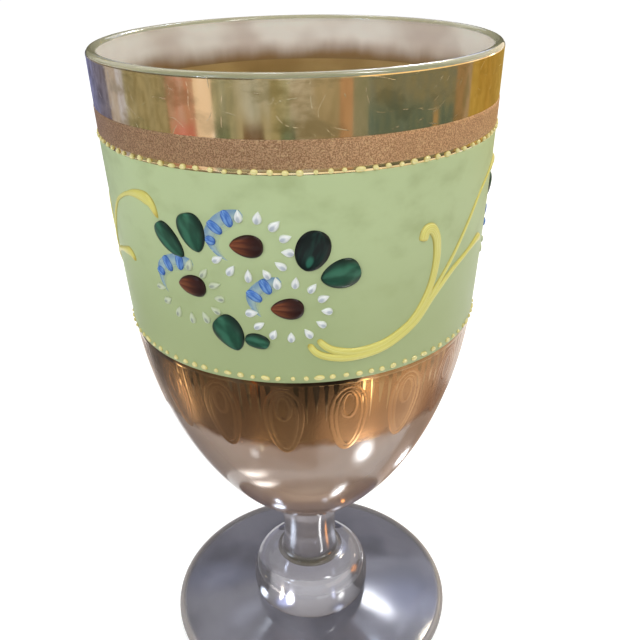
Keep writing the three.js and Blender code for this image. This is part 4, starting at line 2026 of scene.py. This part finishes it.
@dataclass(frozen=True)
class Studio:
    """Pale floor, soft lamps, cards for the gold to mirror, and the camera."""

    floor_drop: float = 0.3
    floor_reach: float = 6000.0
    white: str = "#ffffff"
    ambient: float = 0.62
    aim: Point = (0.0, 0.0, 85.0)
    lamps: tuple[Lamp, ...] = (
        Lamp("key_lamp", (420.0, -360.0, 560.0), (240.0, 300.0), 0.66),
        Lamp("fill_lamp", (-480.0, -320.0, 460.0), (220.0, 320.0), 0.6),
        Lamp("back_lamp", (60.0, 480.0, 620.0), (320.0, 220.0), 0.7),
        Lamp("left_front_lamp", (-267.0, -233.0, 306.0), (52.0, 70.0), 0.26, "#dfeaff"),
        Lamp("right_front_lamp", (152.0, -113.0, 428.0), (52.0, 70.0), 0.26),
    )
    cards: tuple[Card, ...] = (
        # All round, for the rim gold.
        Card("#6f668a", -180.0, -116.0, high=(330.0, 55.0), dapple="#5c5470"),
        Card("#8a90c0", -180.0, -116.0, low=(330.0, 55.0), dapple="#6c6c8c"),
        Card("#cfd3f0", -116.0, -99.0, dapple="#b4b0c0"),
        Card("#bcbcaf", -99.0, -68.0, dapple="#8c8870"),
        Card("#b4c4b8", -97.0, -83.0, (325.0, 20.0), (325.0, 47.0), dapple="#6a7c6c"),
        Card("#cdb3b4", -68.0, -52.0, dapple="#d49c94"),
        Card("#e39aa0", -66.0, -53.0, (325.0, 20.0), (325.0, 49.0), dapple="#d08088"),
        Card("#fff2fa", -52.0, -42.5, strength=1.1),
        Card("#9aa29c", -42.5, -31.0, dapple="#c6ccc4"),
        Card("#687c70", -42.0, -34.0, (325.0, 20.0), (325.0, 47.0), dapple="#8a9a8a"),
        Card("#b4b4ac", -31.0, -13.5, high=(330.0, 50.0), dapple="#c8c8bc"),
        Card("#ccd2d8", -31.0, -13.5, low=(330.0, 50.0), dapple="#a8aca4"),
        Card("#7d6250", -27.5, -17.0, (325.0, 20.0), (325.0, 47.0), dapple="#604a3c"),
        Card("#bcb8a0", -13.5, -3.7, dapple="#96987c"),
        Card("#566f66", -9.0, -1.5, (325.0, 20.0), (325.0, 46.0), dapple="#7c8a6c"),
        Card("#b2aca2", -3.7, 20.4, high=(330.0, 52.0), dapple="#96907c"),
        Card("#c4beb6", -3.7, 20.4, low=(330.0, 52.0), dapple="#a8a494"),
        Card("#cfaf9c", 20.4, 27.0, dapple="#b89a88"),
        Card("#a4a8a4", 27.0, 35.0, dapple="#8a9486"),
        Card("#627c84", 35.0, 88.0, high=(330.0, 58.0), dapple="#80908c"),
        Card("#858f90", 35.0, 88.0, low=(330.0, 58.0), dapple="#9c9a86"),
        Card("#c0a888", 73.0, 76.4, (325.0, 20.0), (325.0, 56.0)),
        Card("#b09880", 88.0, 101.0, dapple="#8f8468"),
        Card("#b4974c", 101.0, 160.0, dapple="#c8a85c"),
        Card("#54587f", 160.0, 180.0),
        Card("#6f6456", 20.0, 110.0, (322.0, 0.0), (322.0, 34.0)),
        # Higher up, for the lip, the sanded band and the foot.
        Card("#16181c", -180.0, -140.0, (330.0, 112.0), (330.0, 300.0)),
        Card("#7c7c7c", -140.0, -20.0, (330.0, 112.0), (330.0, 230.0)),
        Card("#c8c8c8", -20.0, 30.0, (330.0, 112.0), (330.0, 260.0)),
        Card("#ffe9cc", 30.0, 150.0, (330.0, 112.0), (330.0, 260.0), 1.5),
        Card("#b0a68c", -112.0, 112.0, (330.0, 262.0), (330.0, 1200.0)),
        Card("#16181c", 150.0, 180.0, (330.0, 112.0), (330.0, 262.0)),
        Card("#e8ecff", 150.0, 178.0, (330.0, 262.0), (330.0, 560.0), 2.2),
        # On the floor, for the belly and the frieze.
        Card("#a8a8a8", -130.0, 8.0, (43.0, 0.1), (115.0, 0.1)),
        Card("#909090", -130.0, -26.0, (115.0, 0.1), (300.0, 0.1)),
        Card("#7c8490", -47.0, -38.0, (98.0, 0.15), (220.0, 0.15)),
        Card("#e0904c", -32.0, -30.0, (110.0, 0.15), (180.0, 0.15)),
        Card("#6c7078", -30.0, -12.0, (98.0, 0.15), (220.0, 0.15)),
        Card("#565a60", -12.0, 33.0, (98.0, 0.15), (220.0, 0.15)),
        Card("#fff6ea", 42.0, 110.0, (120.0, 0.12), (240.0, 0.12), 1.1),
        Card("#c2a996", 88.0, 150.0, (40.0, 0.1), (110.0, 0.1)),
    )
    glints: tuple[Glint, ...] = (
        # Near the floor, for the belly and the frieze.
        Glint((41.0, -37.0, 0.2), (14.0, 13.0), 20.0),
        Glint((-39.0, -41.0, 0.2), (6.0, 6.0), 7.0),
        Glint((-31.0, -22.0, 6.0), (20.0, 3.6), 13.0, "#fff4ea", heading=-54.0),
        Glint((-23.5, -19.5, 6.0), (17.0, 3.2), 13.0, "#fff4ea", heading=-51.0),
        Glint((15.5, -17.8, 6.0), (9.0, 3.4), 18.0, heading=-30.0),
        Glint((46.0, 26.0, 0.2), (9.0, 13.0), 14.0),
        Glint((46.0, 14.0, 0.2), (36.0, 32.0), 1.1, "#ffe8d8"),
        Glint((0.0, -20.0, 5.6), (38.0, 20.0), 0.8, "#ffe4cc"),
        Glint((70.0, -91.0, 0.2), (8.0, 26.0), 12.0, "#fff0c8", heading=31.0),
        Glint((50.0, -97.0, 0.2), (4.0, 5.0), 8.0, "#fff0c8"),
        Glint((51.5, -42.7, 0.2), (3.0, 4.0), 16.0, "#ffe08c"),
        Glint((-36.0, -51.0, 0.2), (4.0, 5.0), 8.0, "#fff0c8"),
        Glint((-106.0, -1.0, 0.2), (44.0, 9.0), 7.0, "#fff0c8"),
        # Close to the stem and the knop.
        Glint((-10.6, -5.9, 18.2), (4.6, 4.6), 9.0, "#dfeaff", heading=-83.0, tilt=43.0),
        Glint((9.2, -0.8, 18.2), (3.6, 3.2), 2.0, "#e8eeff", heading=124.0, tilt=41.0),
        Glint((-14.4, -7.4, 5.8), (3.0, 3.0), 14.0, "#dfeaff", heading=-116.0, tilt=62.0),
        Glint((7.8, -13.6, 4.8), (3.0, 2.4), 22.0, "#e8eeff", heading=30.0),
        # Turned to the goblet, for the knop, the foot and the lip.
        Glint((101.0, 275.0, 338.0), (33.0, 40.0), 120.0, "#f4f6ff", True),
        Glint((143.0, 242.0, 353.0), (18.0, 40.0), 120.0, "#fff4dc", True),
        Glint((77.0, 211.0, 400.0), (26.0, 46.0), 36.0, "#dfeaff", True),
        Glint((-30.0, 188.0, 408.0), (26.0, 40.0), 26.0, "#f0f2ff", True),
        Glint((-97.0, 266.0, 350.0), (22.0, 34.0), 3.0, "#e8ecff", True),
        Glint((-69.0, 240.0, 371.0), (18.0, 18.0), 7.0, "#e8f0ff", True),
        Glint((-267.0, -233.0, 306.0), (46.0, 200.0), 26.0, "#dfeaff", True),
        Glint((152.0, -113.0, 428.0), (46.0, 170.0), 26.0, turned=True),
        # A warm spot by the knop, then three more that are turned.
        Glint((13.4, -6.8, 15.1), (2.8, 2.6), 11.0, "#ffa860", heading=96.0, tilt=15.0),
        Glint((92.0, 186.0, 223.0), (60.0, 50.0), 3.4, "#c8d4ff", True),
        Glint((-90.0, 215.0, 203.0), (44.0, 30.0), 1.3, "#c8d4ff", True),
        Glint((255.0, 150.0, 140.0), (40.0, 30.0), 12.0, "#ffe8d0", True),
    )
    camera_place: Point = (0.0, -153.98, 159.91)
    camera_pitch: float = 27.17
    camera_yaw: float = -1.17
    camera_roll: float = -1.63
    camera_lens: float = 44.3
    camera_sensor: float = 36.0
    camera_clip: Place = (5.0, 50000.0)

    def build(self) -> None:
        """Sets up everything round the goblet."""
        self.set_world()
        self.add_floor()
        for number, card in enumerate(self.cards, 1):
            self.add_mirrored(card.mesh(f"card_{number}"))
        for number, glint in enumerate(self.glints, 1):
            self.add_mirrored(glint.mesh(f"glint_{number}", self.aim), glint.turned)
        for lamp in self.lamps:
            self.add_lamp(lamp)
        self.add_camera()
        bpy.context.scene.view_settings.view_transform = "Standard"

    def set_world(self) -> None:
        """White to the eye, metal and glass, and a soft even light for the rest."""
        world = bpy.data.worlds.new("studio")
        world.use_nodes = True
        tree = world.node_tree
        tree.nodes.clear()
        soft, white = (
            add_node(tree, "Background", None, {"Color": self.white, "Strength": strength})
            for strength in (self.ambient, 1.0)
        )
        shown = add_node(tree, "MixShader", None, (seen_directly(tree), soft, white))
        add_node(tree, "OutputWorld", None, {"Surface": shown})
        bpy.context.scene.world = world

    def add_floor(self) -> None:
        """A pale floor just under the foot."""
        mesh = bpy.data.meshes.new("floor")
        reach = self.floor_reach * MM
        corners = ((-reach, -reach), (reach, -reach), (reach, reach), (-reach, reach))
        mesh.from_pydata([(x, y, -self.floor_drop * MM) for x, y in corners], [], [(0, 1, 2, 3)])
        mesh.materials.append(PaleFloor("white table board").material())
        floor = bpy.data.objects.new("floor", mesh)
        bpy.context.scene.collection.objects.link(floor)

    @staticmethod
    def add_mirrored(mesh: bpy.types.Mesh, through_glass: bool = False) -> None:
        """Stages a mesh that polished surfaces show but the camera doesn't.

        Args:
            mesh: A card or a glint.
            through_glass: Whether it shows through clear glass too.
        """
        screen = bpy.data.objects.new(mesh.name, mesh)
        screen.visible_camera = False
        screen.visible_diffuse = False
        screen.visible_shadow = False
        screen.visible_transmission = through_glass
        bpy.context.scene.collection.objects.link(screen)

    def add_lamp(self, lamp: Lamp) -> None:
        """Adds a soft lamp that points at the goblet.

        Args:
            lamp: The lamp.
        """
        light = bpy.data.lights.new(lamp.name, "AREA")
        light.shape = "ELLIPSE"
        light.size, light.size_y = (length * MM for length in lamp.size)
        light.energy = lamp.power
        light.color = linear(lamp.tone)[:3]
        holder = bpy.data.objects.new(lamp.name, light)
        holder.visible_glossy = False
        holder.visible_transmission = False
        holder.location = Vector(lamp.place) * MM
        away = Vector(self.aim) - Vector(lamp.place)
        holder.rotation_euler = away.to_track_quat("-Z", "Y").to_euler()
        bpy.context.scene.collection.objects.link(holder)

    def add_camera(self) -> None:
        """Adds the camera at the photograph's viewing angle."""
        lens = bpy.data.cameras.new("camera")
        lens.sensor_width = self.camera_sensor
        lens.lens = self.camera_lens
        lens.clip_start, lens.clip_end = (distance * MM for distance in self.camera_clip)
        camera = bpy.data.objects.new("camera", lens)
        level = Matrix.Rotation(math.radians(90), 4, "X")
        pitch = Matrix.Rotation(math.radians(-self.camera_pitch), 4, "X")
        yaw = Matrix.Rotation(math.radians(self.camera_yaw), 4, "Y")
        roll = Matrix.Rotation(math.radians(self.camera_roll), 4, "Z")
        place = Matrix.Translation(Vector(self.camera_place) * MM)
        camera.matrix_world = place @ level @ pitch @ yaw @ roll
        bpy.context.scene.collection.objects.link(camera)
        bpy.context.scene.camera = camera


def main() -> None:
    """Builds the goblet and its studio."""
    logging.basicConfig(level=logging.INFO, format="%(name)s: %(message)s")
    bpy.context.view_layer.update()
    low, high = height_span("bowl")
    Goblet(BowlOutline(low, high)).build()
    Studio().build()


if __name__ == "__main__":
    main()
